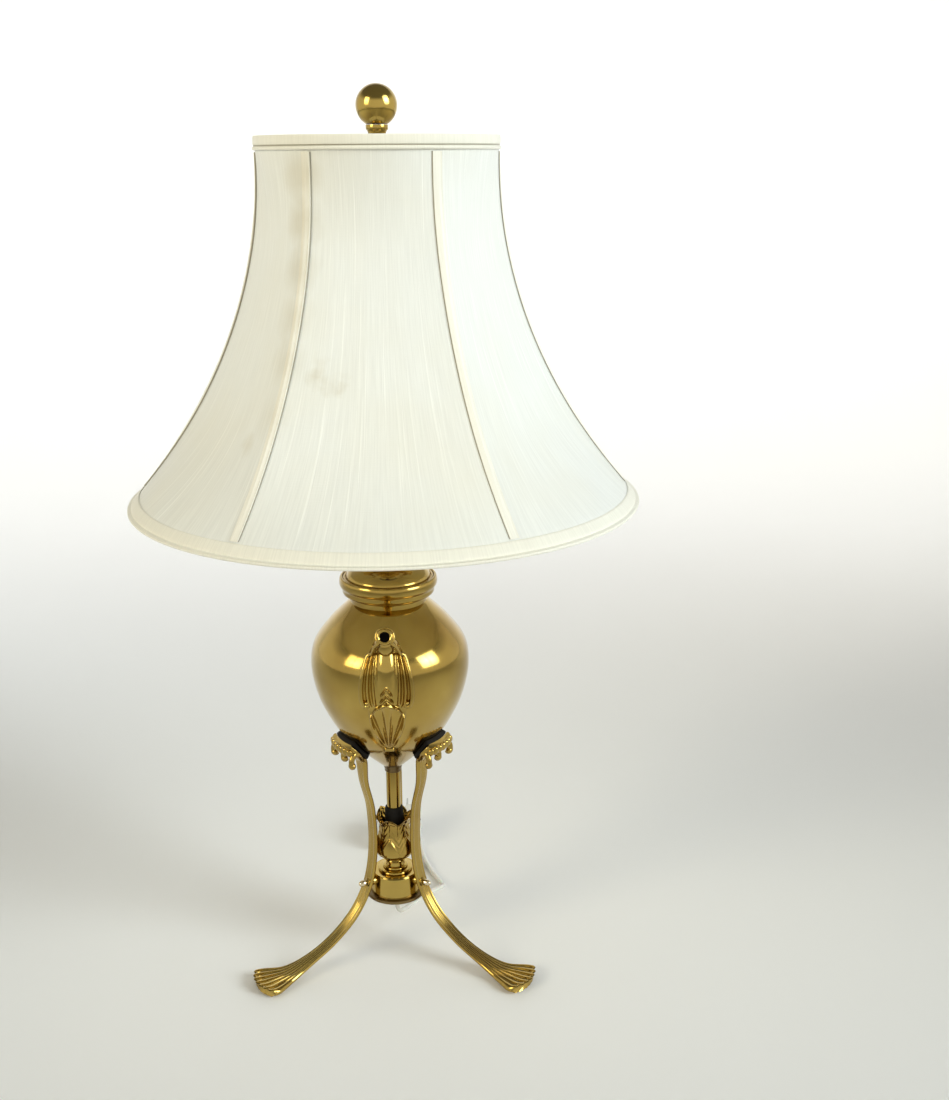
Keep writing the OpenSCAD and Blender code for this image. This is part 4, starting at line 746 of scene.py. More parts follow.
class KETTLELAMP_OT_column(Maker, bpy.types.Operator):
    """Makes the tube and its collar, the burner's plate and stem, and the black bush"""
    bl_idname = "kettle_lamp.column"
    bl_label = "Column and burner"

    def build(self, sizes):
        tube_z, tube_top = CUP_Z + 30, KETTLE_Z - 6
        tube = [[6.2, tube_z], [6.2, tube_top], [PIPE_BORE, tube_top], [PIPE_BORE, tube_z]]
        Shell("column_tube").turned(softened(tube, 0.25), 64).make(
            "root", "polished_brass", look("brass"), ["centre_tube"])
        # The collar and the plate take the darker copy of the brass, as painted shade
        collar = [[PIPE_BORE, tube_top], [7, tube_top], [7.3, tube_top + 0.8], [7.2, tube_top + 2],
                  [7.9, tube_top + 4], [8.2, KETTLE_Z - 0.6], [8.5, KETTLE_Z], [PIPE_BORE, KETTLE_Z]]
        Shell("column_collar").turned(softened(collar, 0.3), 64).make(
            "root", "aged_brass", look("shaded dark brass"), ["tube_collar"])
        plate = [[PIPE_BORE, BASE_Z - PLATE_T], [PLATE_R, BASE_Z - PLATE_T], [PLATE_R, BASE_Z],
                 [PIPE_BORE, BASE_Z]]
        Shell("burner_plate").turned(softened(plate, 0.8), 96).make(
            "root", "aged_brass", look("shaded dark brass"), ["base_plate"])

        def ring(r, z, out, up):
            """A rounded ring on the stem, out and up millimetres about a middle at r and z."""
            a = np.radians(np.arange(-84, 85, 14))
            return np.stack([r + out * np.cos(a), z + up * np.sin(a)], 1)

        stem = np.concatenate([
            [[PIPE_BORE, STEM_Z]],
            ring(13.9, STEM_Z + 1.3, 1.1, 1.3), ring(9.8, STEM_Z + 3.8, 1.2, 1.2),
            [[8.4, STEM_Z + 5.3], [8.1, STEM_Z + 6.6], [8.3, CUP_Z - 2], [9.3, CUP_Z - 1.1],
             [9.7, CUP_Z - 0.5], [9.4, CUP_Z], [PIPE_BORE, CUP_Z]]])
        Shell("burner_rings").turned(stem, 96).make("root", "polished_brass", look("brass"),
                                                    ["burner_stem"])
        bush_top = CUP_Z + CUP_H + 7
        bush = [[6.3, CUP_Z + 30], [8, CUP_Z + 30], [8, bush_top - 3], [7.4, bush_top - 0.7],
                [6.7, bush_top], [6.3, bush_top]]
        Shell("black_bush").turned(softened(bush, 0.3), 48).make(
            "root", "black_rubber", look("rubber"), ["wick_bush"])


class KETTLELAMP_OT_finial(Maker, bpy.types.Operator):
    """Makes the finial's ball and neck"""
    bl_idname = "kettle_lamp.finial"
    bl_label = "Finial"

    def build(self, sizes):
        ball_r, ball_z, hub_top, neck_r = 15.7, HARP_TOP + 1.6 + 31.5, HARP_TOP + 1.6, 8.5
        a = np.radians(np.linspace(-59.3, 89.5, 60))
        ball = np.stack([ball_r * np.cos(a), ball_z + ball_r * np.sin(a)], 1)
        Shell("finial_sphere").turned(ball, 96, closed=False).make(
            "finial", "polished_brass", look("brass"), ["finial_ball"])
        top = ball_z - ball_r * 0.86
        neck = [[3.3, hub_top], [neck_r + 1, hub_top], [neck_r + 1, hub_top + 2],
                [neck_r - 1.2, hub_top + 3.2], [neck_r - 1.7, hub_top + 5], [neck_r - 1.7, top - 6],
                [neck_r - 1, top - 4.6], [neck_r, top - 3.8], [neck_r, top - 0.3],
                [3.3, top - 0.3]]
        Shell("finial_turning").turned(softened(neck, 0.5), 72).make(
            "finial", "polished_brass", look("brass"), ["finial_neck"])


# The leaf cup

class KETTLELAMP_OT_leaf_cup(Maker, bpy.types.Operator):
    """Makes the burner's bud of veined leaves"""
    bl_idname = "kettle_lamp.leaf_cup"
    bl_label = "Leaf cup"

    def build(self, sizes):
        leaves = 6
        outline = through([[0, 0.56], [0.06, 0.72], [0.16, 0.95], [0.26, 1], [0.42, 0.95], [0.6, 0.84],
                           [0.78, 0.78], [0.9, 0.84], [1, 0.98]], 9)
        h, r = outline[:, :1], outline[:, 1:] * CUP_R
        around = 40 * leaves
        turn = np.arange(around)[None] / 40
        u = 2 * np.abs((turn + 0.5) % 1 - 0.5)
        v = 2 * np.abs(turn % 1 - 0.5)
        # Below, a smooth petal under a pointed arch; above it, a leaf whose side veins slant
        # down from its middle rib; the leaves part in a notch at the top
        arch = 0.56 - 0.34 * u ** 1.3
        petal = step_up(arch - h, -0.02, 0.03) * (0.5 + 0.9 * np.cos(np.clip(u, 0, 1) * np.pi / 2) ** 0.7)
        rim = bump_at(h, arch, 0.05) * 0.5
        above = step_up(h - arch, 0.0, 0.06)
        veins = 0.38 * np.abs(np.sin(np.pi * (7.5 * h + 1.9 * u))) ** 0.6 * above
        rib = 0.5 * bump_at(u, 0, 0.16) * above
        valley = -1.1 * bump_at(u, 1, 0.2) * step_up(h, 0.3, 0.8)
        side_leaf = 0.5 * bump_at(v, 0, 0.5) * step_up(h, 0.5, 0.8) * above
        relief = (petal + rim + veins + rib + valley + side_leaf) * np.minimum(1, h * 9)
        flare = 1.2 * step_up(h, 0.86, 1) * (1 - u)
        lower = 5.5 * u ** 1.5 * step_up(h, 0.8, 1)
        a = 2 * np.pi * turn / leaves + math.radians(10) - math.radians(-6)
        rr, zz = r + relief + flare, CUP_Z + h * CUP_H - lower
        outer = np.stack([rr * np.cos(a), rr * np.sin(a), zz], -1)
        top_r, top_z = rr[-1], zz[-1]
        rows = [outer]
        for inset, drop in ((0.35, -0.25), (1.0, 0.0), (1.5, 1.2), (1.9, 4.0)):
            q = top_r - inset
            rows.append(np.stack([q * np.cos(a[0]), q * np.sin(a[0]), top_z - drop], -1)[None])
        floor_z = CUP_Z + 30
        for q, z in ((0.72 * CUP_R, floor_z + 5), (0.66 * CUP_R, floor_z), (6.4, floor_z), (5.2, floor_z),
                     (5.2, CUP_Z)):
            rows.append(np.stack([q * np.cos(a[0]), q * np.sin(a[0]), z + 0 * a[0]], -1)[None])
        Shell("leaf_bud").add(np.concatenate(rows), wrap_rows=True).make(
            "root", "polished_brass", look("brass"), ["leaf_cup"], 60)


# The spout and its leaf

SPOUT_PLAN = [
    # height, off the kettle, half width, tube's half width, tube's rise, wing's rise
    [305, 5.8, 11, 7.2, 7.2, 3.0], [298.5, 4.0, 14.8, 8.1, 7.4, 3.6], [291, 2.7, 17.8, 8.9, 7.2, 3.9],
    [284, 1.9, 19.6, 9.0, 6.6, 4.0], [276, 1.4, 20.5, 8.8, 5.6, 4.0], [269, 1.1, 20.4, 8.2, 4.6, 3.8],
    [263.5, 1.0, 19.0, 8.0, 4.2, 3.4], [259, 1.0, 15.6, 8.0, 4.2, 2.6], [252, 1.0, 14.8, 7.6, 4.0, 2.4],
    [243, 1.0, 13.6, 6.8, 3.5, 2.2], [233, 1.0, 11.0, 5.8, 3.0, 1.9], [225, 1.0, 7.6, 4.4, 2.5, 1.5],
    [216.5, 1.0, 3.4, 3.0, 2.0, 1.3]]
SPOUT_TIP = KETTLE_R + 10, KETTLE_Z + 0.96 * KETTLE_H
SPOUT_TILT, TUBE_R, BORE_R = math.radians(20), 6.2, 4.0


def about_mouth(outline, across, upward):
    """An outline of radius and distance past the tip, carried round the tilted axis of the
    mouth: a point lies its radius away from the axis, in the direction that across and
    upward share between them."""
    rho, z = SPOUT_TIP
    c, sn = math.cos(SPOUT_TILT), math.sin(SPOUT_TILT)
    r, d = outline[:, :1], outline[:, 1:]
    return np.stack([r * across, -(rho + d * c + r * upward * sn), z + d * sn - r * upward * c], -1)


class KETTLELAMP_OT_spout(Maker, bpy.types.Operator):
    """Makes the spout with its ribbed leaf, scrolls, chevrons and palmette"""
    bl_idname = "kettle_lamp.spout"
    bl_label = "Spout"

    def build(self, sizes):
        depth = 1000 * sizes.leaf
        rho, z = SPOUT_TIP
        low = np.array(SPOUT_PLAN, float)
        lower = np.concatenate([off_kettle(low[:, 0], low[:, 1]), low[:, 2:]], 1)
        upper = np.array([[rho - 1.3, z - 0.5, TUBE_R, TUBE_R, TUBE_R, 0.5],
                          [rho - 5.2, z - 2.3, TUBE_R, TUBE_R, TUBE_R, 0.6],
                          [rho - 8.8, z - 7.6, TUBE_R + 0.8, 6.4, 6.6, 1.2],
                          [rho - 9.8, z - 12.5, TUBE_R + 2.4, 6.8, 7, 2.2]])
        s = through(np.concatenate([upper, lower]), 18)
        t = unit(np.gradient(s[:, :2], axis=0))
        n = np.stack([-t[:, 1], t[:, 0]], 1)
        u = -np.cos(np.linspace(0, np.pi, 131))[None]
        height = self.relief(s, u, depth)
        # Behind the leaf the section closes just inside the kettle's side, or round the tube's back
        ub = np.cos(np.linspace(0, np.pi, 17)[1:-1])[None]
        behind = 2.6 + (s[:, 3:4] - 2.6) * step_up(s[:, 1:2], 300, 307)
        x = np.concatenate([u, ub], 1) * s[:, 2:3]
        h = np.concatenate([height, -behind * np.sqrt(1 - ub ** 2)], 1)
        skin = np.stack([x, -(s[:, 0:1] + h * n[:, 0:1]), s[:, 1:2] + h * n[:, 1:2]], -1)
        # The rolled rim and the bore go on from the first section as circles about the mouth
        rim = np.array([[BORE_R, -6], [BORE_R, 0.2], [4.5, 1.1], [5.2, 1.4], [5.9, 1.1], [6.35, 0.3],
                        [6.4, -0.4]])
        rim = through(rim, 3)
        round_x = np.concatenate([u, ub], 1)
        round_h = np.concatenate([np.sqrt(1 - u ** 2), -np.sqrt(1 - ub ** 2)], 1)
        mouth = about_mouth(rim, round_x, round_h)
        shell = Shell("spout_leaf").add(np.concatenate([mouth, skin]))
        self.edge_roll(shell)
        # The short bar under the palmette
        bar = off_kettle(np.array([214.0]), np.array([2.0]))[0]
        bx = np.linspace(-3.9, 3.9, 13)
        shell.tube(np.stack([bx, 0 * bx - bar[0], 0 * bx + bar[1]], 1),
                   2.1 * (1 - 0.3 * (np.abs(bx) / 3.9) ** 10), 16, (0, 0, 1))
        shell.make("root", "polished_brass", look("brass"), ["spout"], 55)

        # A near black cup just inside the bore paints the shade deep in the spout's mouth
        cup = np.array([[BORE_R - 0.06, -5.9], [BORE_R - 0.06, -0.9], [BORE_R - 0.3, -0.9],
                        [BORE_R - 0.3, -5.6]])
        a = np.arange(48) * 2 * np.pi / 48
        lining = Shell("spout_bore_shade").add(about_mouth(cup, np.cos(a), np.sin(a)), wrap_rows=True)
        disc = np.array([[BORE_R - 0.2, -5.9], [BORE_R - 0.2, -5.4]])
        lining.add(about_mouth(disc, np.cos(a), np.sin(a))).make("root", "black_rubber", look("bore_shade"))

    def relief(self, s, u, depth):
        """Height of the leaf's front over its middle line: the larger of the tube's half round
        and the wings, plus flutes on the wings, pointed tips one over another up the middle,
        and the palmette's veins under a scalloped edge."""
        half, tube, z0 = s[:, 2:3], s[:, 3:4], s[:, 1:2]
        x = u * half
        ax = np.abs(x)
        dome = np.sqrt(np.clip(1 - (x / tube) ** 2, 0, 1))
        wing = s[:, 5:6] * np.clip(1 - u ** 2, 0, 1) ** 0.25
        on_wing = step_up(z0, 258, 266) * step_up(312 - z0, 0, 16)
        beside = np.clip((ax - tube * 0.92) / np.maximum(half - tube * 0.92, 0.5), 0, 1)
        flutes = 1.0 - 1.1 * np.cos(5.2 * np.pi * beside) - 0.9
        height = np.maximum(s[:, 4:5] * dome, wing + depth * flutes * step_up(beside, 0, 0.15) * on_wing)
        for point, slope, width in ((279.5, 1.55, 5.2), (273.6, 1.4, 6.2), (268.4, 1.1, 7.4)):
            line = point - slope * np.sqrt(ax ** 2 + 0.3)
            inside = step_up(width - ax, 0, 1.8)
            height += depth * (0.8 * step_up(line - z0, -0.2, 0.9) * step_up(z0 - line, -9, -2)
                               + 1.3 * bump_at(z0, line - 0.9, 2.2)) * inside
        foot_z = 213.5
        angle = np.degrees(np.arctan2(x, np.maximum(z0 - foot_z, 0.5)))
        lobe = 0.5 + 0.5 * np.cos(np.radians(angle * 30))
        edge = 263.6 - 0.062 * x ** 2 + 1.4 * lobe
        ribs = lobe ** 0.7 * step_up(np.hypot(x, z0 - foot_z), 4, 12)
        under = edge - z0
        on_fan = (step_up(under, -0.2, 0.8) * step_up(z0, foot_z + 2, foot_z + 10)
                  * step_up(15.5 - ax, 0, 1))
        height += depth * (2.1 * ribs + 0.2) * on_fan
        height += depth * 0.9 * bump_at(under, 0.9, 2.0) * step_up(15.5 - ax, 0, 1.5)
        border = (bump_at(np.abs(u), 0.92, 0.16) * step_up(257 - z0, 0, 4)
                  * step_up(z0, foot_z, foot_z + 6))
        return height + depth * 1.1 * border

    def edge_roll(self, shell):
        """The rolled edge of the leaf: one bead that rises from a scroll at either side along
        the wing's edge and goes round the mouth as a hood. Its path is a smooth curve, and its
        radius swells in the middle of the wings."""
        rho, z = SPOUT_TIP
        scroll = np.array([[15.9, 264.6], [14.6, 263.4], [14.8, 261.3], [17.0, 260.6], [19.0, 262.6],
                           [20.2, 267]])
        edge = np.array([[20.5, 272], [20.4, 277.5], [19.4, 284.5], [17.6, 291.5], [14.8, 298.5]])
        side = np.concatenate([scroll, edge])
        off = np.concatenate([np.full(6, 3.4), [2.9, 2.9, 3.3, 4.2, 5.6]])
        at = off_kettle(side[:, 1], off)
        c, sn = math.cos(SPOUT_TILT), math.sin(SPOUT_TILT)
        a = np.radians([-42, -5, 32, 62])
        hood_r, back = 6.9, 2.6
        hood = np.stack([hood_r * np.cos(a), rho - back * c - hood_r * np.sin(a) * sn,
                         z - back * sn + hood_r * np.sin(a) * c], 1)
        join = np.array([[11.2, rho - 10.2, z - 17.6], [8.9, rho - 5.5, z - 11.0]])
        right = np.concatenate([np.stack([side[:, 0], at[:, 0], at[:, 1]], 1), join, hood])
        crown = np.array([[0, rho - back * c - hood_r * sn, z - back * sn + hood_r * c]])
        path = through(np.concatenate([right, crown, (right * [-1, 1, 1])[::-1]]), 8)
        k = np.abs(np.linspace(-1, 1, len(path)))
        shell.tube(np.stack([path[:, 0], -path[:, 1], path[:, 2]], 1),
                   1.05 + 0.75 * bump_at(k, 0.62, 0.7) - 0.2 * step_up(k, 0.9, 1), 12, (0, 0.02, 1))
        for side in (-1, 1):
            eye = off_kettle(np.array([264.0]), np.array([4.0]))[0]
            shell.ball((side * 16.2, -eye[0], eye[1]), (1.5, 1.5, 1.5), 16)


# The legs

def leg_plan():
    """A leg's stations from head to toe, as in the solids: distance from the axis, height,
    width, thickness, depth of ridges, share of the outer ridges, trail of the sides, wrap."""
    head_t, strap_t, strap_w, head_w = 5, 3.5, 13, 38
    waist, reach, foot_w, foot_h, felt_t = 21.2, 134, 39, 7.5, 1.2
    span, toe_z = reach - waist, felt_t + foot_h / 2

    def head(share, w, ridge):
        q = off_kettle(np.array([KETTLE_Z + share * KETTLE_H]), np.array([PAD_T + head_t / 2]))[0]
        return [q[0], q[1], w, head_t, ridge, 1, 0, 1]
    return np.array([
        head(0.24, head_w * 0.9, 1.4), head(0.2, head_w, 1.4), head(0.155, head_w * 0.74, 1.1),
        head(0.11, strap_w * 1.35, 0.5),
        [waist + 7, 168, strap_w, strap_t + 0.6, 0.4, 0, 0, 0],
        [waist + 1.4, 142, strap_w, strap_t, 0.4, 0, 0, 0],
        [waist, CUP_Z + 20, strap_w, strap_t, 0.4, 0, 0, 0],
        [waist + 3.3, CUP_Z - 8, strap_w, strap_t, 0.4, 0, 0, 0],
        [waist + 10.8, BASE_Z + 1, strap_w, strap_t, 0.4, 0, 0, 0],
        [waist + 0.21 * span, 0.7 * BASE_Z, strap_w, strap_t, 0.4, 0, 0, 0],
        [waist + 0.385 * span, 0.415 * BASE_Z, strap_w, strap_t, 0.5, 0.1, 0, 0],
        [waist + 0.58 * span, 0.22 * BASE_Z, strap_w * 1.15, strap_t + 0.5, 0.7, 0.5, 1, 0],
        [waist + 0.76 * span, 0.1 * BASE_Z, foot_w * 0.6, strap_t + 1.2, 1.2, 1, 2, 0],
        [waist + 0.92 * span, toe_z - 0.4, foot_w * 0.97, foot_h - 0.8, 1.5, 1, 5, 0],
        [reach - 1.2, toe_z, foot_w, foot_h, 1.6, 1, 7, 0],
        [reach, toe_z, foot_w * 0.98, foot_h, 1.6, 1, 7, 0]])


class KETTLELAMP_OT_tripod(Maker, bpy.types.Operator):
    """Makes the three strap legs with fluted heads, curled leaf tips and scalloped feet"""
    bl_idname = "kettle_lamp.tripod"
    bl_label = "Tripod"

    def build(self, sizes):
        for name, turn in LEG_TURNS.items():
            shell = self.leg(sizes)
            shell.name = name + "_casting"
            shell.turn(about_z(turn)).make("root", "polished_brass", look("brass"), [name], 50)

    def leg(self, sizes):
        s = through(leg_plan(), 9)
        share = np.linspace(0, 1, len(s))[:, None]
        t = unit(np.gradient(s[:, :2], axis=0))
        n = np.stack([-t[:, 1], t[:, 0]], 1)
        tops, under = 99, 17
        u = np.linspace(-1, 1, tops)[None]
        deep = s[:, 4:5] * sizes.ridge / 0.0016
        crest = np.abs(np.sin(np.pi / 2 * FLUTES * (u + 1))) ** 0.8
        inner = np.abs(u) * 7 < 3
        ridge = deep * (1 - np.where(inner, 1, s[:, 5:6]) * crest)
        round_side = np.clip(1 - np.abs(u) ** 14, 0, 1) ** 0.5
        top = (s[:, 3:4] / 2 - ridge) * round_side
        # The strap has a raised bead along either edge, where the outer ridges have died away
        bead = 0.35 * bump_at(np.abs(u), 0.86, 0.2) * (1 - s[:, 5:6]) * (1 - s[:, 7:8])
        top = top + bead
        ub = np.linspace(0.985, -0.985, under)[None]
        bottom = -s[:, 3:4] / 2 * np.clip(1 - np.abs(ub) ** 14, 0, 1) ** 0.5
        uu, hh = np.concatenate([u, ub], 1), np.concatenate([top, bottom + 0 * share], 1)
        x = uu * s[:, 2:3] / 2
        toe = step_up(share, 0.9, 1.0)
        scallop = 1.3 * (1 - np.abs(np.sin(np.pi / 2 * FLUTES * (uu + 1))) ** 0.6) * toe
        rho = s[:, 0:1] + hh * n[:, 0:1] - s[:, 6:7] * uu ** 2 - scallop
        z = np.maximum(s[:, 1:2] + hh * n[:, 1:2], 1.2)
        wrap, a = s[:, 7:8], x / rho
        grid = np.stack([x * (1 - wrap) + rho * np.sin(a) * wrap,
                         rho * (1 - wrap) + rho * np.cos(a) * wrap, z], -1)
        shell = Shell("leg").add(grid)
        for z0, turn, out, down in ((KETTLE_Z + 0.2 * KETTLE_H, 20, 5.4, 9.6),
                                    (KETTLE_Z + 0.2 * KETTLE_H, -20, 5.4, 9.6),
                                    (KETTLE_Z + 0.19 * KETTLE_H, 0, 2.8, 7.6)):
            self.curl(shell, z0, turn, out, down)
        self.crown(shell)
        # The ear that the clamping screw goes through
        k = np.linspace(0, 3.2, 6)
        ear = np.stack([0 * k, 25.6 + k, 0 * k + BASE_Z + 0.68 * DRUM_H], 1)
        shell.tube(ear, 4 - 0.5 * (np.abs(k - 1.6) / 1.6) ** 6, 24, (0, 0, 1))
        return shell

    def crown(self, shell):
        """The fluted band round the head's outer side: its outline stands upright while the
        head leans in under the kettle, and dips in seven flutes along the band."""
        outline = np.array([[49.4, 208.8], [51.9, 209.3], [53.2, 208.3], [53.4, 206], [52.9, 203.8],
                            [51.6, 202], [49.4, 200.9], [46.4, 200.4], [45.2, 202.4], [47.4, 205.6]])
        ring = softened(outline, 0.7)
        a = np.linspace(-HEAD_HALF, HEAD_HALF, 113)[:, None]
        flute = 1 - np.abs(np.sin(np.pi / 2 * FLUTES * (a / HEAD_HALF + 1))) ** 0.7
        mid_r, mid_z = 49, 205
        outer = np.clip((ring[:, 0] - mid_r) / 3, 0, 1)[None]
        lower = np.clip((mid_z - ring[:, 1]) / 4, 0, 1)[None]
        close = np.clip(1 - (np.abs(a) / HEAD_HALF) ** 10, 0, 1) ** 0.5
        rho = mid_r + (ring[None, :, 0] - mid_r) * close - 1.5 * flute * outer * close
        z = mid_z + (ring[None, :, 1] - mid_z) * close + 1.2 * flute * lower * close
        turn = np.radians(a)
        shell.add(np.stack([rho * np.sin(turn), rho * np.cos(turn), z], -1))

    def curl(self, shell, z0, turn, out, down):
        """A leaf tip that swings outward and down and rolls under: a tapering tube on a curve
        in the upright plane of its turn, with a bead where it rolls up."""
        root = off_kettle(np.array([z0]), np.array([PAD_T + 2.5]))[0]
        bead = 3.0
        q = through([root, root + [out * 0.5, -down * 0.1], root + [out * 0.95, -down * 0.5],
                     root + [out, -down], root + [out - 1.6, -down - 1.4],
                     root + [out - 2.8, -down - 0.2]], 6)
        path = np.stack([0 * q[:, 0], q[:, 0], q[:, 1]], 1)
        k = np.linspace(0, 1, len(q))
        part = Shell("curl")
        part.tube(path, 2.9 - 0.7 * k, 16, (1, 0, 0), flat=0.85)
        part.ball((0, root[0] + out - 0.6, root[1] - down), (bead * 1.1, bead, bead), 20)
        part.turn(about_z(-turn))
        shell.join(part)


class KETTLELAMP_OT_pads(Maker, bpy.types.Operator):
    """Makes the three black cushions between the heads and the kettle, as wide and as black as a pad and
    the shade under its head together: partly painted shade
    """
    bl_idname = "kettle_lamp.pads"
    bl_label = "Kettle pads"

    def build(self, sizes):
        low, high = (corner[2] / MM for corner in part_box("saddle_pads"))
        inner_z = KETTLE[(KETTLE[:, 1] > low + 2.6) & (KETTLE[:, 1] < high - 0.1), 1]
        inside, outside = off_kettle(inner_z, 0.06 + 0 * inner_z), off_kettle(inner_z[::-1], PAD_T - 0.15)
        ring = softened(np.concatenate([inside, outside]), 0.9)
        middle = ring.mean(0)
        a = np.linspace(-HEAD_HALF, HEAD_HALF, 61)[:, None]
        close = np.clip(1 - (np.abs(a) / HEAD_HALF) ** 16, 0, 1) ** 0.5
        grid_r = middle[0] + (ring[:, 0] - middle[0]) * close
        grid_z = middle[1] + (ring[:, 1] - middle[1]) * close
        shell = Shell("black_pads_and_shade")
        for leg_turn in LEG_TURNS.values():
            turn = np.radians(a - leg_turn)
            shell.add(np.stack([grid_r * np.sin(turn), grid_r * np.cos(turn), grid_z], -1))
        shell.make("root", "black_rubber", look("rubber"), ["saddle_pads"], 40)


# The handle

class KETTLELAMP_OT_handle(Maker, bpy.types.Operator):
    """Makes the kettle's handle"""
    bl_idname = "kettle_lamp.handle"
    bl_label = "Handle"

    def build(self, sizes):
        low_z, high_z, d = KETTLE_Z + 0.44 * KETTLE_H, KETTLE_Z + 0.8 * KETTLE_H, 9
        at = lambda z: float(np.interp(z, KETTLE[:, 1], KETTLE[:, 0]))
        high, low = np.array([at(high_z), high_z]), np.array([at(low_z), low_z])
        reach = KETTLE_R + 38 - d / 2
        q = through([high + [-0.6, 0], high + [8, 4], high + [20, 8], [reach - 6, high_z - 2],
                     [reach, 0.55 * high_z + 0.45 * low_z], [reach - 1.6, low_z + 12],
                     [reach - 9, low_z], low + [16, -2.5], low + [7, -1.5], low + [-0.6, 0]], 10)
        k = np.linspace(-1, 1, len(q))
        r = d / 2 * (0.8 + 0.3 * np.abs(k) ** 4 + 0.2 * np.cos(np.pi * k / 2)) \
            + 0.35 * bump_at(np.abs(k), 0.72, 0.05) + 0.35 * bump_at(np.abs(k), 0.78, 0.05)
        Shell("handle_bar").tube(np.stack([0 * k, q[:, 0], q[:, 1]], 1), r, 32, (1, 0, 0)).make(
            "root", "polished_brass", look("brass"), ["kettle_handle"])


# The harp and the light

class KETTLELAMP_OT_harp(Maker, bpy.types.Operator):
    """Makes the harp's bent wire with its top plate"""
    bl_idname = "kettle_lamp.harp"
    bl_label = "Harp"

    def build(self, sizes):
        arm_x, arm_top, half, h, rise = 28, SADDLE_Z + 16, 56, 304, 22
        q = through([[arm_x, arm_top], [arm_x, arm_top + rise * 0.5], [arm_x, arm_top + rise],
                     [arm_x + 3, arm_top + rise + 14], [half * 0.82, arm_top + 0.19 * h],
                     [half, arm_top + 0.36 * h], [half * 0.93, arm_top + 0.54 * h],
                     [half * 0.66, arm_top + 0.73 * h], [half * 0.34, arm_top + 0.86 * h],
                     [9, HARP_TOP - 9], [6, HARP_TOP - 4.5], [6, HARP_TOP - 1]], 8)
        shell = Shell("harp_wire")
        for side in (-1, 1):
            shell.tube(np.stack([side * q[:, 0], 0 * q[:, 0], q[:, 1]], 1), 1.8, 16, (0, 1, 0))
        plate = [[0.01, HARP_TOP - 2], [9, HARP_TOP - 2], [9, HARP_TOP], [0.01, HARP_TOP]]
        shell.turned(softened(plate, 0.3), 48)
        shell.make("harp", "lamp_brass", look("lamp brass"), ["harp"])


class KETTLELAMP_OT_light(Maker, bpy.types.Operator):
    """Makes the bulb"""
    bl_idname = "kettle_lamp.light"
    bl_label = "Bulb"

    def build(self, sizes):
        low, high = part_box("bulb_glass")
        z0, tall, r = low[2] / MM, (high[2] - low[2]) / MM, high[0] / MM
        q = through([[0.42, 0], [0.44, 0.1], [0.6, 0.28], [0.86, 0.48], [0.99, 0.66], [0.95, 0.82],
                     [0.7, 0.94], [0.36, 0.99], [0.01, 1]], 8)
        outline = np.stack([q[:, 0] * r, z0 + q[:, 1] * tall], 1)
        Shell("bulb_envelope").turned(outline, 64, closed=False).make(
            "bulb", "frosted_glass", look("bulb"), ["bulb_glass"])


# The shade

def shade_radius(z):
    """The shade's radius along a rib: it grows from the top with a power of the way down."""
    down = np.clip((SHADE_TOP - z) / (SHADE_TOP - SHADE_Z), 0, 1)
    return SHADE_TOP_R + (SHADE_R - SHADE_TOP_R) * down ** FLARE


def panel_radius(z, a):
    """Between two ribs, at angles 60 degrees apart, the cloth is drawn in towards a straight
    line from rib to rib, fully in the middle of the height and not at all at the edges."""
    from_edge = np.minimum(z - SHADE_Z, SHADE_TOP - z) - TRIM_H
    height = SHADE_TOP - SHADE_Z
    draw = PANEL_FLAT * np.sin(np.pi / 2 * np.clip(from_edge / (0.26 * height), 0, 1))
    half = 180 / PANELS
    off = np.abs((a + 90 + half + 720) % (2 * half) - half)
    flat = math.cos(math.radians(half)) / np.cos(np.radians(off))
    return shade_radius(z) * (1 - draw * (1 - flat))


def cloth_skin(name, off, thick, low, high, rows, cols, wrinkle=0.0):
    """A closed skin of the shade: its outer side lies off millimetres inside the outline,
    its inner side thick millimetres further in. Texture u runs round and v up the cloth."""
    z = np.linspace(0, 1, rows) ** 1.1 * (high - low) + low
    a = np.arange(cols) * 360 / cols
    r = panel_radius(z[:, None], a[None])
    at_edges = (bump_at(z, low, 24) + bump_at(z, high, 24))[:, None]
    mid_height = np.sin(np.pi * (z - low) / (high - low))[:, None]
    puckers = wrinkle * np.sin(np.radians(a * 90))[None] * at_edges
    slack = 2.5 * wrinkle * np.sin(np.radians(a * 12 + 40))[None] * mid_height
    outer = r - off + puckers - np.abs(slack)
    both = np.concatenate([outer, (outer - thick)[::-1]])
    zz = np.concatenate([z, z[::-1]])
    grid = np.stack([both * np.cos(np.radians(a)), both * np.sin(np.radians(a)), zz[:, None] + 0 * a], -1)
    slant = np.concatenate([[0], np.cumsum(np.hypot(np.diff(z), np.diff(shade_radius(z))))])
    across = np.arange(cols + 1) / cols * 2 * math.pi * 140
    along = np.concatenate([slant, slant[::-1], slant[:1]])
    shell = Shell(name).add(grid, wrap_rows=True, uv=(across, along))
    wide = float(2 * np.pi * shade_radius(low))
    mid = 0.5 * (r[1:] + r[:-1]).mean(1)
    area = float((2 * np.pi * mid * np.diff(slant)).sum())
    return shell, (wide * MM, float(slant[-1]) * MM), area * MM * MM


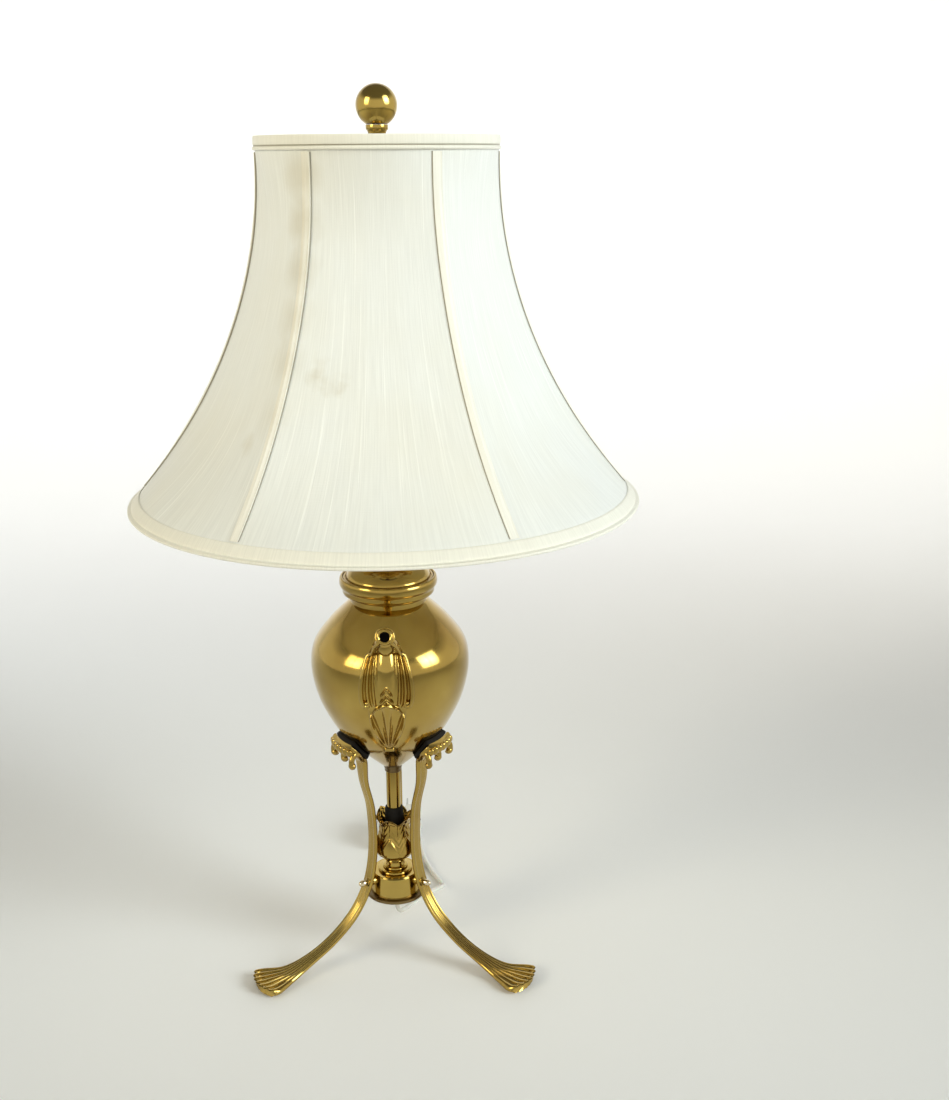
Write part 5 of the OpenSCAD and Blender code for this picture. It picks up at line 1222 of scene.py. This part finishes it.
class KETTLELAMP_OT_shade(Maker, bpy.types.Operator):
    """Makes the shade's silk cover, its lining, the tapes over the seams and the bound edges"""
    bl_idname = "kettle_lamp.shade"
    bl_label = "Shade"

    def build(self, sizes):
        silk_shell, flat, area = cloth_skin("silk_cover", 0.15, 1000 * sizes.silk_t, SHADE_Z + 3,
                                            SHADE_TOP - 3, 80, 360, 0.12)
        cover = silk_shell.make("shade", "cream_silk", look("silk"), ["shade_silk"], 60)
        lining_off, lining_top = 6.4, SHADE_TOP - TRIM_H
        lining_shell, lflat, larea = cloth_skin("lining_cloth", lining_off, 0.5, SHADE_Z + 3,
                                                lining_top, 60, 240)
        lining = lining_shell.make("shade", "white_lining", look("lining"), ["shade_lining"], 60)
        tapes = self.tapes(1000 * sizes.tape_t)
        edges = [self.bound_edge("top_binding", SHADE_TOP, -1, "shade_top_trim"),
                 self.bound_edge("bottom_binding", SHADE_Z, 1, "shade_bottom_trim")]

    def tapes(self, thick):
        """A folded tape over each rib: flat in the middle, rounded at both edges, with a thin
        cord sewn in along one of them."""
        shell = Shell("seam_ribbons")
        z = np.linspace(SHADE_Z + TRIM_H + 1.2, SHADE_TOP - TRIM_H - 1.2, 70)
        u = np.linspace(-1, 1, 25)
        lift = 0.25 + thick * np.clip(1 - u ** 16, 0, 1) ** 0.5 + 0.55 * bump_at(u, 0.8, 0.24)
        uu = np.concatenate([u, u[::-1]])
        hh = np.concatenate([lift, np.full(len(u), 0.05)])
        r0 = shade_radius(z)[:, None]
        slant = np.concatenate([[0], np.cumsum(np.hypot(np.diff(z), np.diff(shade_radius(z))))])
        across = np.concatenate([u, u[::-1], u[:1]]) * SEAM_W / 2
        for k in range(PANELS):
            wander = 0.25 * np.sin(z / 31 + 1.7 * k)[:, None]
            turn = np.degrees((uu[None] * SEAM_W / 2 + wander) / r0)
            r = panel_radius(z[:, None], turn) + hh[None]
            a = np.radians(turn + 60 * k)
            grid = np.stack([r * np.cos(a), r * np.sin(a), z[:, None] + 0 * a], -1)
            shell.add(grid, uv=(across + 40 * k, slant), ends=False)
        return shell.make("shade", "cream_silk", look("tape"), ["seam_tapes"], 60)

    def bound_edge(self, name, z_edge, way, node):
        """A folded band over the cloth's edge with a cord sewn into its lower side: round the
        shade goes an outline with a rounded fold, a slightly full face and a bead."""
        low = z_edge if way > 0 else z_edge - TRIM_H
        k = np.linspace(0, 1, 14)
        z = low + TRIM_H * k
        face = shade_radius(z) + 1.15 + 0.3 * np.sin(np.pi * np.clip((k - 0.25) / 0.75, 0, 1))
        ditch = -0.55 * bump_at(z, low + 3.1, 1.1)
        t = np.radians(np.arange(-100, 81, 15))
        cord_z = low + 1.35
        cord_r = shade_radius(np.array([cord_z]))[0] + 0.7
        bead = np.stack([cord_r + 1.35 * np.cos(t), cord_z + 1.35 * np.sin(t)], 1)
        front = np.stack([face + ditch, z], 1)[z > low + 2.6]
        back = np.stack([shade_radius(z) + 0.3, z], 1)[::-1]
        if way > 0:
            rim = shade_radius(np.array([low]))[0]
            fold = np.array([[rim + 0.3, low + 2.9], [rim - 6.4, low + 2.9], [rim - 7.6, low + 1.8],
                             [rim - 7.4, low + 0.5], [rim - 6, low + 0.1]])
            outline = np.concatenate([bead, front, back[:-4], fold])
        else:
            rim = shade_radius(np.array([z_edge]))[0]
            fold = np.array([[rim + 0.9, z_edge - 0.1], [rim - 0.5, z_edge], [rim - 6, z_edge - 0.1],
                             [rim - 7.4, z_edge - 0.6], [rim - 7.6, z_edge - 1.8],
                             [rim - 6.4, z_edge - 2.9]])
            outline = np.concatenate([bead, front[:-1], fold, back[4:]])
        cols = 240
        a = np.arange(cols) * 2 * np.pi / cols
        grid = np.stack([outline[:, :1] * np.cos(a), outline[:, :1] * np.sin(a),
                         outline[:, 1:] + 0 * a], -1)
        run = np.concatenate([[0], np.cumsum(np.linalg.norm(np.diff(outline, axis=0), axis=1)), [0]])
        across = np.arange(cols + 1) / cols * 2 * math.pi * rim
        shell = Shell(name).add(grid, wrap_rows=True, uv=(across, run))
        return shell.make("shade", "cream_trim", look("trim"), [node], 55)


# The solids that keep their own shape

class KETTLELAMP_OT_hardware(Maker, bpy.types.Operator):
    """Gives the small hardware its finishes"""
    bl_idname = "kettle_lamp.hardware"
    bl_label = "Small hardware"

    def build(self, sizes):
        finishes = {
            "brass": ["leg_screws", "burner_drum", "handle_rivets", "base_nut"],
            "pale brass": ["ball_nuts"],
            "lamp brass": ["harp_saddle", "saddle_nut", "harp_stud", "ferrule_left", "ferrule_right",
                           "socket_cap", "socket_shell", "screw_shell", "centre_contact", "switch_stem"],
            # The spacers share the darker copy of the brass that paints shade on the collar and plate
            "shaded dark brass": ["leg_spacers"],
            "zinc": ["saddle_screws", "saddle_washers", "lamp_pipe", "base_washer", "shade_frame",
                     "shade_spider", "plug_blades", "bulb_base"],
            "felt": ["foot_pads"],
            "phenolic": ["switch_knob", "socket_body"], "card": ["socket_liner"],
            "vinyl": ["inner_lead", "cord_bush", "plug_body"]}
        for key, names in finishes.items():
            for name in names:
                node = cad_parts[name]
                for slot in node.material_slots:
                    slot.material = look(key)


OPERATORS = [
    KETTLELAMP_OT_stage, KETTLELAMP_OT_cord, KETTLELAMP_OT_kettle, KETTLELAMP_OT_column,
    KETTLELAMP_OT_leaf_cup, KETTLELAMP_OT_spout, KETTLELAMP_OT_tripod, KETTLELAMP_OT_pads,
    KETTLELAMP_OT_handle, KETTLELAMP_OT_harp, KETTLELAMP_OT_light, KETTLELAMP_OT_shade,
    KETTLELAMP_OT_finial, KETTLELAMP_OT_hardware]


class KETTLELAMP_PT_panel(bpy.types.Panel):
    """Lists the steps and the values of the kettle lamp"""
    bl_idname = "KETTLELAMP_PT_panel"
    bl_label = "Kettle lamp"
    bl_space_type = "VIEW_3D"
    bl_region_type = "UI"
    bl_category = "Kettle lamp"

    def draw(self, context):
        column = self.layout.column()
        for step in OPERATORS:
            column.operator(step.bl_idname)
        for values in (context.scene.kettle_lamp_sizes, context.scene.kettle_lamp_colours):
            for key in values.__annotations__:
                column.prop(values, key)


def register():
    for part in (KettleLampSizes, KettleLampColours, *OPERATORS, KETTLELAMP_PT_panel):
        bpy.utils.register_class(part)
    bpy.types.Scene.kettle_lamp_sizes = bpy.props.PointerProperty(type=KettleLampSizes)
    bpy.types.Scene.kettle_lamp_colours = bpy.props.PointerProperty(type=KettleLampColours)


def unregister():
    del bpy.types.Scene.kettle_lamp_colours
    del bpy.types.Scene.kettle_lamp_sizes
    for part in reversed((KettleLampSizes, KettleLampColours, *OPERATORS, KETTLELAMP_PT_panel)):
        bpy.utils.unregister_class(part)


def main():
    register()
    for step in OPERATORS:
        group, name = step.bl_idname.split(".")
        getattr(getattr(bpy.ops, group), name)()


if __name__ == "__main__":
    main()
